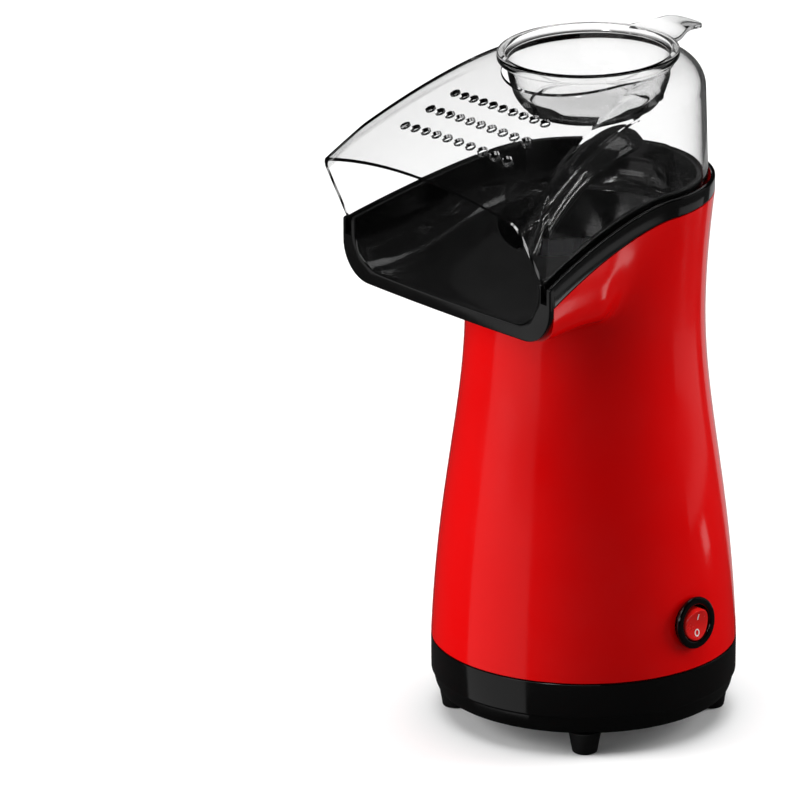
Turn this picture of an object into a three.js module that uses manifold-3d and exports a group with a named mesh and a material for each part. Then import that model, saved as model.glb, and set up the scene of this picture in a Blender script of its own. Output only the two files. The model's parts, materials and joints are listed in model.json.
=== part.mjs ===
// Hot-air popcorn maker, in millimetres, +Z up.
// Modelled about the axis of its round body: the spout points to -Y, the switch to +X.
// The whole group is then moved, so that the origin is under the middle of its box.
import * as THREE from "three";
import { mergeVertices } from "three/addons/utils/BufferGeometryUtils.js";
import Module from "manifold-3d";

// ---- Driving dimensions ----
const GAP = 0.3; // between two pieces that touch
const WALL = 2.5; // moulded plastic
const ORIGIN_SHIFT = new THREE.Vector3(-1.2, 14.6, 0); // moves the middle of the box onto the origin

const FOOT_HEIGHT = 10.2;
const FOOT_CIRCLE = 56.4;
const UNDERSIDE = FOOT_HEIGHT + GAP; // bottom face of the base
const BASE_RADIUS = 67;
const SEAM = 35; // between the base and the body
const BASE_TURN = 4.3; // degrees that the base and the switch are turned from the spout
const SPIGOT_TOP = 41; // the base's rim that the body fits over
const SPIGOT_RADIUS = 63.6;
const FLOOR_TOP = UNDERSIDE + WALL;

const NECK_RADIUS = 52.2;
const NECK_TOP = 184; // where the body starts to flare out to the chute

const RING_RADIUS = 55; // outside of the chute at the back
const RING_CENTRE = 1; // its centre lies this far behind the body's axis
const MOUTH_Y = -80;
const MOUTH_WIDEN = 13; // how much wider each side is at the mouth
const RING_TOP = 245.5;
const MOUTH_DROP = 19.8; // how far the top edge falls towards the mouth
const MOUTH_BOTTOM = 199; // underside of the spout at the mouth
const MOUTH_CORNER = 17;
const FRAME_DEPTH = 2.8; // the frame round the mouth, along Y
const LIP_INSET = 8; // outside of the band to the inside of the chute
const GROOVE_DEPTH = 7.5;
const GROOVE_FROM = 1.9;
const GROOVE_TO = 5.8;
const TROUGH_FLOOR = 205.5; // at the mouth
const SHELF = 225.5; // rim of the throat, a funnel down to the chamber
const THROAT_RADIUS = 40;
const THROAT_FOOT_RADIUS = 33.6;
const THROAT_BOTTOM = 205.6;

const COVER_INSET = 2.7; // outside of the cover, in from the outside of the band
const COVER_WALL = 2.2;
const COVER_TOP = 296.3;
const HOOD_FRONT = -112; // the cover is made to here, and then cut back
const HOLE_RADIUS = 37.3; // the cup's opening in the cover
const VENT_RADIUS = 2.3;

const CUP_TILT = THREE.MathUtils.degToRad(2);
const CUP_HEIGHT = 299.2; // of the rim's centre

const POST_CIRCLE = 38; // posts that carry the fan housing
const POST_TOP = 63.7;
const PILLAR_CIRCLE = 55.5; // pillars that join the base and the body
const MOTOR_BOTTOM = 22;
const MOTOR_SCREW_CIRCLE = 12.5;
const BOARD_TOP = MOTOR_BOTTOM - GAP;
const BOARD_THICKNESS = 1.6;
const FAN_FLOOR = 64;
const FAN_TOP = 103.7;
const FAN_RADIUS = 46;
const CHAMBER_BOTTOM = 130;
const CHAMBER_RADIUS = 34.5;
const SHIELD_RADIUS = 42;
const BOSS_CIRCLE = 45; // screws that hold the chute down

const SWITCH_HEIGHT = 56.2;
const SWITCH_LEAN = THREE.MathUtils.degToRad(4.6); // follows the slope of the body
const ROCKER_TILT = THREE.MathUtils.degToRad(9); // either way from level
const ROCKER_PIVOT = -1.5; // below the body's surface

// ---- Materials ----
function finish(colour, roughness, metalness = 0, opacity = 1) {
  const transparent = opacity < 1;
  return new THREE.MeshStandardMaterial({ color: colour, roughness, metalness, transparent, opacity });
}
const RED_GLOSS = finish("#c8080c", 0.18);
const BLACK_SATIN = finish("#17181a", 0.35);
const BLACK_RUBBER = finish("#101010", 0.8);
const CLEAR = finish("#f2f4f5", 0.05, 0, 0.3);
const ROCKER_RED = finish("#d0141a", 0.25);
const BRIGHT_METAL = finish("#c9ccd0", 0.35, 1);
const STEEL = finish("#8d9196", 0.45, 1);
const BRASS = finish("#b99a4e", 0.4, 1);
const MICA = finish("#b9a37c", 0.7);
const CERAMIC = finish("#e6e2d8", 0.6);
const BOARD = finish("#2f6b3a", 0.6);
const LEAD = finish("#d8d8d2", 0.6);

// ---- Solids: turned, lofted, cut and joined ----
const wasm = await Module();
wasm.setup();
const MERGE = 1e-4;

// A geometry with shared vertices, position only and no triangle of zero width.
function welded(geometry) {
  const bare = geometry.clone();
  bare.deleteAttribute("normal");
  bare.deleteAttribute("uv");
  const merged = mergeVertices(bare, MERGE);
  const old = merged.index.array;
  const kept = [];
  for (let i = 0; i < old.length; i += 3) {
    const [a, b, c] = [old[i], old[i + 1], old[i + 2]];
    if (a !== b && b !== c && a !== c) kept.push(a, b, c);
  }
  merged.setIndex(kept);
  return merged;
}

function solid(geometry) {
  const merged = welded(geometry);
  const triVerts = new Uint32Array(merged.index.array);
  const vertProperties = merged.attributes.position.array;
  const made = new wasm.Manifold(new wasm.Mesh({ numProp: 3, vertProperties, triVerts }));
  if (made.volume() > 0) return made;
  return new wasm.Manifold(
    new wasm.Mesh({ numProp: 3, vertProperties, triVerts: triVerts.slice().reverse() }),
  );
}

function surface(manifold) {
  const mesh = manifold.getMesh();
  const geometry = new THREE.BufferGeometry();
  geometry.setAttribute("position", new THREE.BufferAttribute(mesh.vertProperties, 3));
  geometry.setIndex(new THREE.BufferAttribute(mesh.triVerts, 1));
  geometry.computeVertexNormals();
  return geometry;
}

function cut(body, ...tools) {
  return surface(tools.reduce((left, tool) => left.subtract(solid(tool)), solid(body)));
}

function join(body, ...others) {
  return surface(others.reduce((sum, other) => sum.add(solid(other)), solid(body)));
}

function common(body, other) {
  return surface(solid(body).intersect(solid(other)));
}

// Turns a closed profile of [radius, height] points about Z.
function turned(profile, segments = 48) {
  const points = profile.map(([r, z]) => new THREE.Vector2(r, z));
  points.push(points[0].clone());
  return surface(solid(new THREE.LatheGeometry(points, segments).rotateX(Math.PI / 2)));
}

function tube(inner, outer, bottom, top, segments = 48) {
  return turned([[inner, bottom], [outer, bottom], [outer, top], [inner, top]], segments);
}

function rod(radius, bottom, top, segments = 16) {
  return turned([[0, bottom], [radius, bottom], [radius, top], [0, top]], segments);
}

function block(width, depth, height, x = 0, y = 0, z = 0) {
  return new THREE.BoxGeometry(width, depth, height).translate(x, y, z);
}

// Flat end of a loft: the ring laid on its own plane and split into triangles.
function capFaces(ring) {
  const centre = ring.reduce((sum, p) => sum.add(p), new THREE.Vector3()).divideScalar(ring.length);
  const normal = new THREE.Vector3();
  ring.forEach((p, i) => {
    const next = ring[(i + 1) % ring.length];
    normal.add(p.clone().sub(centre).cross(next.clone().sub(centre)));
  });
  normal.normalize();
  const across = ring[0].clone().sub(centre);
  across.addScaledVector(normal, -across.dot(normal)).normalize();
  const up = normal.clone().cross(across);
  const flat = ring.map((p) => {
    const arm = p.clone().sub(centre);
    return new THREE.Vector2(arm.dot(across), arm.dot(up));
  });
  return THREE.ShapeUtils.triangulateShape(flat, []);
}

// A closed body through a list of rings, each with the same number of points.
// A loop joins its last ring to its first, and an open loft gets a flat cap on each end.
function loft(rings, loop = false) {
  const count = rings[0].length;
  const positions = rings.flat().flatMap((p) => [p.x, p.y, p.z]);
  const index = [];
  const spans = loop ? rings.length : rings.length - 1;
  for (let i = 0; i < spans; i++) {
    const here = i * count;
    const there = ((i + 1) % rings.length) * count;
    for (let j = 0; j < count; j++) {
      const k = (j + 1) % count;
      index.push(here + j, here + k, there + k);
      index.push(here + j, there + k, there + j);
    }
  }
  if (!loop) {
    const last = (rings.length - 1) * count;
    for (const [a, b, c] of capFaces(rings[0])) index.push(c, b, a);
    for (const [a, b, c] of capFaces(rings.at(-1))) index.push(last + a, last + b, last + c);
  }
  const geometry = new THREE.BufferGeometry();
  geometry.setAttribute("position", new THREE.Float32BufferAttribute(positions, 3));
  geometry.setIndex(index);
  return surface(solid(geometry));
}

// A round wire or lead along a smooth curve through points.
function wire(points, radius, steps, sides = 8) {
  const path = new THREE.CatmullRomCurve3(points.map((p) => new THREE.Vector3(...p)));
  const section = new THREE.Shape();
  for (let i = 0; i < sides; i++) {
    const angle = (2 * Math.PI * i) / sides;
    const x = radius * Math.cos(angle);
    const y = radius * Math.sin(angle);
    if (i) section.lineTo(x, y);
    else section.moveTo(x, y);
  }
  const made = new THREE.ExtrudeGeometry(section, { steps, bevelEnabled: false, extrudePath: path });
  return surface(solid(made));
}

// A point on a circle: azimuth 0 is the spout's side (-Y) and 90 is +X.
function polar(radius, azimuth) {
  const angle = THREE.MathUtils.degToRad(azimuth);
  return [radius * Math.sin(angle), -radius * Math.cos(angle)];
}

const lerp = THREE.MathUtils.lerp;
const smooth = (t) => THREE.MathUtils.smoothstep(t, 0, 1);

// ---- Shared shape of the chute, the body's flare and the cover ----
// 0 beside the ring's centre, 1 at the mouth.
function towardsMouth(y) {
  return THREE.MathUtils.clamp((RING_CENTRE - y) / (RING_CENTRE - MOUTH_Y), 0, 1);
}
function halfWidth(y) {
  return RING_RADIUS + MOUTH_WIDEN * towardsMouth(y) ** 1.5;
}
function bandTop(y) {
  return RING_TOP - MOUTH_DROP * towardsMouth(y) ** 1.5;
}
function bandBottom(y) {
  const forward = THREE.MathUtils.clamp((45 - y) / 125, 0, 1);
  return bandTop(y) - 6 - 4 * forward ** 0.6;
}
function troughFloor(y) {
  return lerp(TROUGH_FLOOR, SHELF, smooth((y - MOUTH_Y) / 75));
}

// Plan outline of the chute, in from its outside by inset, and closed across the front at frontY.
const ARC_STEPS = 18;
const SIDE_STEPS = 9;
const FRONT_STEPS = 8;
function outline(inset, frontY) {
  const points = [];
  for (let i = 0; i <= ARC_STEPS; i++) {
    const angle = (Math.PI * i) / ARC_STEPS;
    const radius = RING_RADIUS - inset;
    points.push(new THREE.Vector2(radius * Math.cos(angle), RING_CENTRE + radius * Math.sin(angle)));
  }
  for (let i = 1; i <= SIDE_STEPS; i++) {
    const y = lerp(RING_CENTRE, frontY, i / SIDE_STEPS);
    points.push(new THREE.Vector2(inset - halfWidth(y), y));
  }
  const corner = halfWidth(frontY) - inset;
  for (let i = 1; i < FRONT_STEPS; i++) {
    points.push(new THREE.Vector2(lerp(-corner, corner, i / FRONT_STEPS), frontY));
  }
  for (let i = SIDE_STEPS; i >= 1; i--) {
    const y = lerp(RING_CENTRE, frontY, i / SIDE_STEPS);
    points.push(new THREE.Vector2(halfWidth(y) - inset, y));
  }
  return points;
}

// A wall that follows the outline round the back and both sides, open at the mouth.
// section(y) gives its corners as [inset, height].
function horseshoe(section, frontY, backSteps = 18, sideSteps = 9) {
  const rings = [];
  const alongSide = (side, y) => {
    rings.push(section(y).map(([inset, z]) => new THREE.Vector3(side * (halfWidth(y) - inset), y, z)));
  };
  for (let i = 0; i <= sideSteps; i++) alongSide(1, lerp(frontY, RING_CENTRE, i / sideSteps));
  for (let i = 1; i < backSteps; i++) {
    const angle = (Math.PI * i) / backSteps;
    const depth = (inset) => RING_CENTRE + (RING_RADIUS - inset) * Math.sin(angle);
    rings.push(section(depth(0)).map(([inset, z]) => {
      return new THREE.Vector3((RING_RADIUS - inset) * Math.cos(angle), depth(inset), z);
    }));
  }
  for (let i = sideSteps; i >= 0; i--) alongSide(-1, lerp(frontY, RING_CENTRE, i / sideSteps));
  return loft(rings);
}

// Half-round-cornered U from one top corner to the other, as [x, z].
function uShape(half, bottom, top, radius, sag = 0, steps = 4) {
  const points = [[-half, top]];
  for (let i = 0; i <= steps; i++) {
    const angle = (Math.PI / 2) * (i / steps);
    points.push([radius - half - radius * Math.cos(angle), bottom + radius * (1 - Math.sin(angle))]);
  }
  points.push([0, bottom - sag]);
  const mirrored = points.slice(0, -1).reverse();
  return [...points, ...mirrored.map(([x, z]) => [-x, z])];
}

// ---- Base ----
const pillarAzimuths = [20, 110, 200, 290].map((azimuth) => azimuth + BASE_TURN);
const postAzimuths = [30, 150, 270];
const motorScrewAzimuths = [90, 270];
const footAzimuths = [45, 135, 225, 315].map((azimuth) => azimuth + BASE_TURN);

function ventSlots(count, inner, outer, width) {
  return Array.from({ length: count }, (_, i) => {
    const slot = block(outer - inner, width, 4 * WALL, (inner + outer) / 2, 0, UNDERSIDE);
    return slot.rotateZ((2 * Math.PI * i) / count);
  });
}

function baseCover() {
  const shell = turned([
    [0, UNDERSIDE],
    [62, UNDERSIDE],
    [63.8, 11.4],
    [65, 13.4],
    [66.1, 18.8],
    [BASE_RADIUS - 0.3, 19.4],
    [BASE_RADIUS, 20.2],
    [BASE_RADIUS, SEAM - GAP],
    [SPIGOT_RADIUS, SEAM - GAP],
    [SPIGOT_RADIUS, SPIGOT_TOP],
    [BASE_RADIUS - 2 * WALL, SPIGOT_TOP],
    [BASE_RADIUS - 2 * WALL, FLOOR_TOP + 3],
    [BASE_RADIUS - 3 * WALL, FLOOR_TOP],
    [0, FLOOR_TOP],
  ], 48);
  const pillars = pillarAzimuths.map((azimuth) => {
    return rod(4.5, UNDERSIDE, SPIGOT_TOP - 1, 10).translate(...polar(PILLAR_CIRCLE, azimuth), 0);
  });
  const posts = postAzimuths.map((azimuth) => {
    return rod(4.5, UNDERSIDE, POST_TOP, 10).translate(...polar(POST_CIRCLE, azimuth), 0);
  });
  const screwHoles = pillarAzimuths.flatMap((azimuth) => {
    const [x, y] = polar(PILLAR_CIRCLE, azimuth);
    return [rod(1.9, 0, SEAM + WALL * 3, 8).translate(x, y, 0), rod(3.6, 0, 15, 10).translate(x, y, 0)];
  });
  const postHoles = postAzimuths.map((azimuth) => {
    return rod(1.6, POST_TOP - 14, POST_TOP + 1, 8).translate(...polar(POST_CIRCLE, azimuth), 0);
  });
  const footHoles = footAzimuths.map((azimuth) => {
    return rod(2.8, 0, FLOOR_TOP + 1, 10).translate(...polar(FOOT_CIRCLE, azimuth), 0);
  });
  const glandHole = rod(5.6, 50, 75, 20).rotateX(-Math.PI / 2).translate(0, 0, GLAND_HEIGHT);
  return cut(
    join(shell, ...pillars, ...posts),
    ...screwHoles,
    ...postHoles,
    ...footHoles,
    glandHole,
    ...ventSlots(12, 10, 30, 3.4),
    ...ventSlots(12, 43.6, 49.4, 3.4),
  );
}

function foot() {
  return turned([
    [0, 0],
    [5.2, 0],
    [6, 0.6],
    [7.2, FOOT_HEIGHT],
    [2.5, FOOT_HEIGHT],
    [2.5, FLOOR_TOP + 2],
    [0, FLOOR_TOP + 2],
  ], 16);
}

// A pan-head screw that points up: its head's underside lies at the given height.
function screw(seat, length, shank = 1.5, head = 3, headHeight = 1.8) {
  return turned([
    [0, seat - headHeight],
    [head, seat - headHeight],
    [head, seat],
    [shank, seat],
    [shank, seat + length],
    [0, seat + length],
  ], 10);
}

// ---- Cord gland, in the back of the base ----
const GLAND_HEIGHT = 27;
function cordGland() {
  const inside = BASE_RADIUS - 2 * WALL - 3 * GAP;
  const outside = BASE_RADIUS + GAP;
  return turned([
    [3.4, inside - 3],
    [7, inside - 3],
    [7, inside],
    [5.2, inside],
    [5.2, outside],
    [7.6, outside],
    [6.4, outside + 2.4],
    [3.4, outside + 2.4],
  ], 24).rotateX(-Math.PI / 2).translate(0, 0, GLAND_HEIGHT);
}

// ---- Body shell ----
// Outside of the waisted part, as [radius, height] for t from 0 at the seam to 1 at the neck.
const waist = new THREE.CubicBezierCurve(
  new THREE.Vector2(BASE_RADIUS, SEAM),
  new THREE.Vector2(64, 106),
  new THREE.Vector2(52.6, 138),
  new THREE.Vector2(NECK_RADIUS, NECK_TOP),
);
const WAIST_STEPS = 6;
const FLARE_STEPS = 7;

// The flare from the neck out to one point of the chute's outline.
// A small step out is a trumpet; a large one turns flat under the spout and up to the band.
function flarePoint(t, inset, reach, top) {
  const boxy = smooth((reach - NECK_RADIUS - 3) / 20);
  const height = top - NECK_TOP;
  const weight = lerp(1, 3, boxy);
  const underside = MOUTH_BOTTOM + inset;
  const bend = lerp((NECK_RADIUS + reach) / 2, reach, boxy) - inset;
  const handles = [
    [NECK_RADIUS - inset, NECK_TOP, 1],
    [NECK_RADIUS - inset, lerp(NECK_TOP + 0.4 * height, underside, boxy), weight],
    [bend, lerp(top - 0.3 * height, underside - 2, boxy), weight],
    [reach - inset, top, 1],
  ];
  const share = [(1 - t) ** 3, 3 * t * (1 - t) ** 2, 3 * t ** 2 * (1 - t), t ** 3];
  const total = handles.reduce((sum, [, , w], i) => sum + w * share[i], 0);
  const radius = handles.reduce((sum, [r, , w], i) => sum + r * w * share[i], 0) / total;
  const z = handles.reduce((sum, [, h, w], i) => sum + h * w * share[i], 0) / total;
  return [radius, z];
}

function bodyRing(inset, place, edge) {
  return edge.map((point) => {
    const reach = point.length();
    const [radius, z] = place(reach, inset, bandBottom(point.y) - GAP);
    return new THREE.Vector3((point.x * radius) / reach, (point.y * radius) / reach, z);
  });
}

function bodyShell() {
  const edge = outline(0, -98);
  const heights = [];
  for (let i = 0; i < WAIST_STEPS; i++) {
    const { x, y } = waist.getPoint(i / WAIST_STEPS);
    heights.push((reach, inset) => [x - inset, y]);
  }
  for (let i = 0; i <= FLARE_STEPS; i++) {
    heights.push((reach, inset, top) => flarePoint(i / FLARE_STEPS, inset, reach, top));
  }
  const outer = heights.map((place) => bodyRing(0, place, edge));
  const inner = heights.map((place) => bodyRing(WALL, place, edge));
  const shell = loft([...outer, ...inner.reverse()], true);
  const ahead = block(300, 100, 200, 0, MOUTH_Y + FRAME_DEPTH + GAP - 50, 200);
  const bosses = pillarAzimuths.map((azimuth) => {
    const boss = join(rod(4, SPIGOT_TOP, SPIGOT_TOP + 14, 10), block(8, 8, 14, 0, -4, SPIGOT_TOP + 7));
    return boss.rotateZ(THREE.MathUtils.degToRad(azimuth)).translate(...polar(PILLAR_CIRCLE, azimuth), 0);
  });
  const wall = waist.getPoints(WAIST_STEPS).map(({ x, y }) => [x - 1, y]);
  const within = turned([[0, SEAM], ...wall, [0, NECK_TOP]]);
  const pilots = pillarAzimuths.map((azimuth) => {
    return rod(1.7, SPIGOT_TOP - 1, SPIGOT_TOP + 12, 8).translate(...polar(PILLAR_CIRCLE, azimuth), 0);
  });
  const carried = bosses.map((boss) => common(boss, within));
  return cut(join(shell, ...carried), ahead, ...pilots, onSwitch(rod(10.2, -10, 10, 32)));
}

// ---- Chute ----
// A rectangle between two insets and two heights.
function bandSection(from, to, low, high) {
  return [[from, low], [to, low], [to, high], [from, high]];
}

function troughSolid(grow, frontY, top) {
  const rings = [];
  const steps = 9;
  for (let i = 0; i <= steps; i++) {
    const y = lerp(frontY, 6, i / steps);
    const half = halfWidth(y) - LIP_INSET + grow;
    const corner = lerp(11, 16, towardsMouth(y)) + grow;
    const section = uShape(half, troughFloor(y) - grow, top, corner, 0.5);
    rings.push(section.map(([x, z]) => new THREE.Vector3(x, y, z)));
  }
  return loft(rings);
}

function bowlSolid(grow, top) {
  const rim = RING_RADIUS - LIP_INSET + grow;
  const throat = THROAT_RADIUS + grow;
  const foot = THROAT_FOOT_RADIUS + grow;
  const fall = new THREE.CubicBezierCurve(
    new THREE.Vector2(rim, 240 - grow),
    new THREE.Vector2(rim - 0.3, 231 - grow),
    new THREE.Vector2(throat + 4, SHELF + 0.5 - grow),
    new THREE.Vector2(throat, SHELF - grow),
  ).getPoints(5);
  const bottom = grow ? THROAT_BOTTOM : THROAT_BOTTOM - 5;
  const profile = [[0, top], [rim, top], ...fall.map(({ x, y }) => [x, y]), [foot, THROAT_BOTTOM]];
  if (bottom < THROAT_BOTTOM) profile.push([foot, bottom]);
  return turned([...profile, [0, bottom]], 36).translate(0, RING_CENTRE, 0);
}

function mouthFrame() {
  const section = uShape(halfWidth(MOUTH_Y), MOUTH_BOTTOM, bandTop(MOUTH_Y) - 1, MOUTH_CORNER, 0.5);
  const ring = (y) => section.map(([x, z]) => new THREE.Vector3(x, y, z));
  return loft([ring(MOUTH_Y), ring(MOUTH_Y + FRAME_DEPTH)]);
}

const bossAzimuths = [60, 180, 300];

function chute() {
  const inside = LIP_INSET + 0.8;
  const band = horseshoe((y) => bandSection(0, inside, bandBottom(y), bandTop(y)), MOUTH_Y);
  const lip = horseshoe((y) => bandSection(GROOVE_TO, inside, bandBottom(y), bandTop(y) + 1), MOUTH_Y);
  const groove = horseshoe((y) => {
    return bandSection(GROOVE_FROM, GROOVE_TO, bandTop(y) - GROOVE_DEPTH, bandTop(y) + 5);
  }, MOUTH_Y - 2);
  // Carries the bottom of the groove where the band itself is too shallow for it.
  const keel = horseshoe((y) => {
    return bandSection(GROOVE_FROM + 1.1, inside, bandTop(y) - GROOVE_DEPTH - 1.8, bandTop(y) - 1);
  }, MOUTH_Y);
  const bosses = bossAzimuths.map((azimuth) => {
    return rod(3.6, SHELF - 20, SHELF + 1, 10).translate(...polar(BOSS_CIRCLE, azimuth), 0);
  });
  const pilots = bossAzimuths.map((azimuth) => {
    return rod(1.6, SHELF - 22, SHELF - 7, 8).translate(...polar(BOSS_CIRCLE, azimuth), 0);
  });
  const outside = join(
    common(join(troughSolid(WALL, MOUTH_Y, 238), bowlSolid(WALL, 240)), belowBand()),
    band,
    lip,
    keel,
    mouthFrame(),
    ...bosses,
  );
  return cut(outside, troughSolid(0, MOUTH_Y - 5, 270), bowlSolid(0, 270), groove, guardHole(), ...pilots);
}

// Everything under the chute's top edge, wide enough to trim the trough and the bowl.
function belowBand() {
  const rings = [];
  for (let i = 0; i <= 12; i++) {
    const y = lerp(MOUTH_Y - 1, 60, i / 12);
    const top = bandTop(y) - 1;
    rings.push([[-90, 190], [90, 190], [90, top], [-90, top]].map(([x, z]) => new THREE.Vector3(x, y, z)));
  }
  return loft(rings);
}

// ---- Kernel guard: a curved tongue that rises from the front of the throat and leans over it ----
const THROAT_LEAN = Math.atan2(THROAT_RADIUS - THROAT_FOOT_RADIUS, SHELF - THROAT_BOTTOM);
const GUARD_SCREW_HEIGHT = 212;
const guardSpine = new THREE.CubicBezierCurve(
  new THREE.Vector2(-32.2, 213.5),
  new THREE.Vector2(-15.5, 241),
  new THREE.Vector2(-2, 254.6),
  new THREE.Vector2(26.5, 256.2),
);

// Moves what was made at the origin to the inside face of the throat's front, with its +Y square to that face.
function onThroatFront(geometry) {
  const foot = (GUARD_SCREW_HEIGHT - THROAT_BOTTOM) * Math.tan(THROAT_LEAN) + THROAT_FOOT_RADIUS;
  return geometry.rotateX(THROAT_LEAN).translate(0, RING_CENTRE - foot, GUARD_SCREW_HEIGHT);
}
function guardHalfWidth(t) {
  const root = 6;
  const widest = 13.5;
  const roundingFrom = 0.8;
  const rounding = Math.max(0, (t - roundingFrom) / (1.01 - roundingFrom));
  return lerp(root, widest, smooth(t / roundingFrom)) * Math.sqrt(1 - rounding ** 3);
}

function guardHole() {
  return onThroatFront(rod(1.4, -6, 6, 12).rotateX(-Math.PI / 2));
}

function kernelGuard() {
  const thickness = 1.8;
  const steps = 12;
  const across = 6;
  const rings = [];
  for (let i = 0; i <= steps; i++) {
    const t = i / steps;
    const at = guardSpine.getPoint(t);
    const along = guardSpine.getTangent(t);
    const half = guardHalfWidth(t);
    const lift = (u) => 0.34 * half * (1 - u * u);
    const side = (offset, order) => Array.from({ length: across + 1 }, (_, j) => {
      const u = order * (-1 + (2 * j) / across);
      const rise = lift(u) + offset;
      return new THREE.Vector3(u * half, at.x - along.y * rise, at.y + along.x * rise);
    });
    rings.push([...side(0, 1), ...side(thickness, -1)]);
  }
  // The strip that hangs from the tongue, down the inside of the throat.
  const strip = onThroatFront(block(9, 2, 9, 0, 2 * GAP + 1, 0));
  return cut(join(loft(rings), strip), guardHole());
}

function guardScrew() {
  const outside = -WALL - 2 * GAP;
  return onThroatFront(screw(0, 6, 1.1, 2.6, 1.4).rotateX(-Math.PI / 2).translate(0, outside, 0));
}

// ---- Clear cover ----
// Height of the hood's outside over a point of the plan.
function hoodTop(x, y) {
  const forward = Math.max(0, (-10 - y) / 89);
  const crown = COVER_TOP + 0.035 * (y - RING_CENTRE) - 28 * forward ** 1.4;
  const camber = lerp(0.0005, 0.0027, Math.min(1, forward));
  return crown - camber * x * x;
}

const WALL_LEVELS = [0, 0.5, 1];
const SHOULDER_STEPS = 4;
const TOP_LEVELS = [0.2, 0.45, 0.72, 1];

// One side of the cover's wall: up from the groove, round the shoulder and in to the cup's hole.
function coverRings(inset) {
  const foot = outline(COVER_INSET + inset, HOOD_FRONT);
  const centre = new THREE.Vector2(0, RING_CENTRE);
  const draft = 1.6;
  const rings = [];
  const ringAt = (place) => rings.push(foot.map((point) => {
    const reach = point.distanceTo(centre);
    const [radius, z] = place(point, reach);
    const way = point.clone().sub(centre).multiplyScalar(radius / reach).add(centre);
    return new THREE.Vector3(way.x, way.y, z(way));
  }));
  const topAt = (way) => hoodTop(way.x, way.y) - inset;
  const shoulder = (point) => lerp(13, 8, towardsMouth(point.y) ** 0.5) - inset;
  const springing = (point, reach) => {
    const r = shoulder(point);
    const way = point.clone().sub(centre).multiplyScalar((reach - draft - r) / reach).add(centre);
    return topAt(way) - r;
  };
  for (const level of WALL_LEVELS) {
    ringAt((point, reach) => {
      const low = bandTop(point.y) - GROOVE_DEPTH + GAP;
      return [reach - draft * level, () => lerp(low, springing(point, reach), level)];
    });
  }
  for (let i = 1; i <= SHOULDER_STEPS; i++) {
    const turn = (Math.PI / 2) * (i / SHOULDER_STEPS);
    ringAt((point, reach) => {
      const r = shoulder(point);
      return [reach - draft - r * (1 - Math.cos(turn)), (way) => topAt(way) - r * (1 - Math.sin(turn))];
    });
  }
  for (const level of TOP_LEVELS) {
    ringAt((point, reach) => [lerp(reach - draft - shoulder(point), HOLE_RADIUS, level), topAt]);
  }
  return rings;
}

// Rows of round holes across the slope of the hood: [y at the middle, holes, spacing].
const VENT_ROWS = [[-50.5, 10, 6.5], [-63, 10, 6.9], [-75.5, 10, 7.4]];

function ventHoles() {
  return VENT_ROWS.flatMap(([middle, count, pitch]) => Array.from({ length: count }, (_, i) => {
    const x = (i - (count - 1) / 2) * pitch;
    const y = middle + 0.0015 * x * x;
    const slope = Math.atan2(hoodTop(x, y + 1) - hoodTop(x, y - 1), 2);
    const bank = Math.atan2(hoodTop(x + 1, y) - hoodTop(x - 1, y), 2);
    return rod(VENT_RADIUS, -8, 6, 6).rotateY(-bank).rotateX(slope).translate(x, y, hoodTop(x, y));
  }));
}

function clearCover() {
  const shell = loft([...coverRings(0), ...coverRings(COVER_WALL).reverse()], true);
  // The mouth of the hood leans forward from the ends of the groove.
  const lean = 0.487;
  const ahead = new THREE.Shape([
    new THREE.Vector2(MOUTH_Y + 3.5, 210),
    new THREE.Vector2(MOUTH_Y + 0.4, bandTop(MOUTH_Y)),
    new THREE.Vector2(MOUTH_Y - lean * 84, bandTop(MOUTH_Y) + 84),
    new THREE.Vector2(-200, bandTop(MOUTH_Y) + 84),
    new THREE.Vector2(-200, 210),
  ]);
  const cutter = new THREE.ExtrudeGeometry(ahead, { depth: 200, bevelEnabled: false });
  cutter.applyMatrix4(new THREE.Matrix4().makeBasis(
    new THREE.Vector3(0, 1, 0),
    new THREE.Vector3(0, 0, 1),
    new THREE.Vector3(1, 0, 0),
  )).translate(-100, 0, 0);
  return cut(shell, cutter, ...ventHoles());
}

// ---- Measuring cup, in its own frame: the rim's centre is at the origin ----
function measuringCup() {
  const bowl = turned([
    [0, -27],
    [22, -27],
    [27, -25.6],
    [31.2, -21],
    [34, -13.5],
    [35.6, -2.2],
    [38.6, -2.2],
    [39.4, -1.2],
    [39.4, 0.6],
    [38.6, 1.5],
    [36.2, 1.5],
    [35.3, 0.4],
    [34.2, -3],
    [32.2, -13],
    [29.4, -20],
    [25.6, -24],
    [21.6, -25],
    [0, -25],
  ], 32);
  return join(bowl, cupTab());
}

// A flat paddle that leaves the rim level and turns down at its rounded end.
function cupTab() {
  const root = 36.8;
  const end = 60.8;
  const rounding = 8;
  const steps = 10;
  const rings = [];
  for (let i = 0; i <= steps; i++) {
    const t = i / steps;
    const y = lerp(root, end, Math.sin((t * Math.PI) / 2));
    const spread = 5 * (1 - smooth(t / 0.4));
    const tip = Math.max(0, (y - end + rounding) / rounding);
    const half = (10 + spread) * Math.sqrt(Math.max(0.12, 1 - tip ** 3));
    const z = 1.4 * smooth(t / 0.4) - 1.6 * smooth((t - 0.4) / 0.6);
    const corners = [[-half, -0.9], [half, -0.9], [half, 1.1], [-half, 1.1]];
    rings.push(corners.map(([x, h]) => new THREE.Vector3(x, y, z + h)));
  }
  return loft(rings);
}

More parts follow.
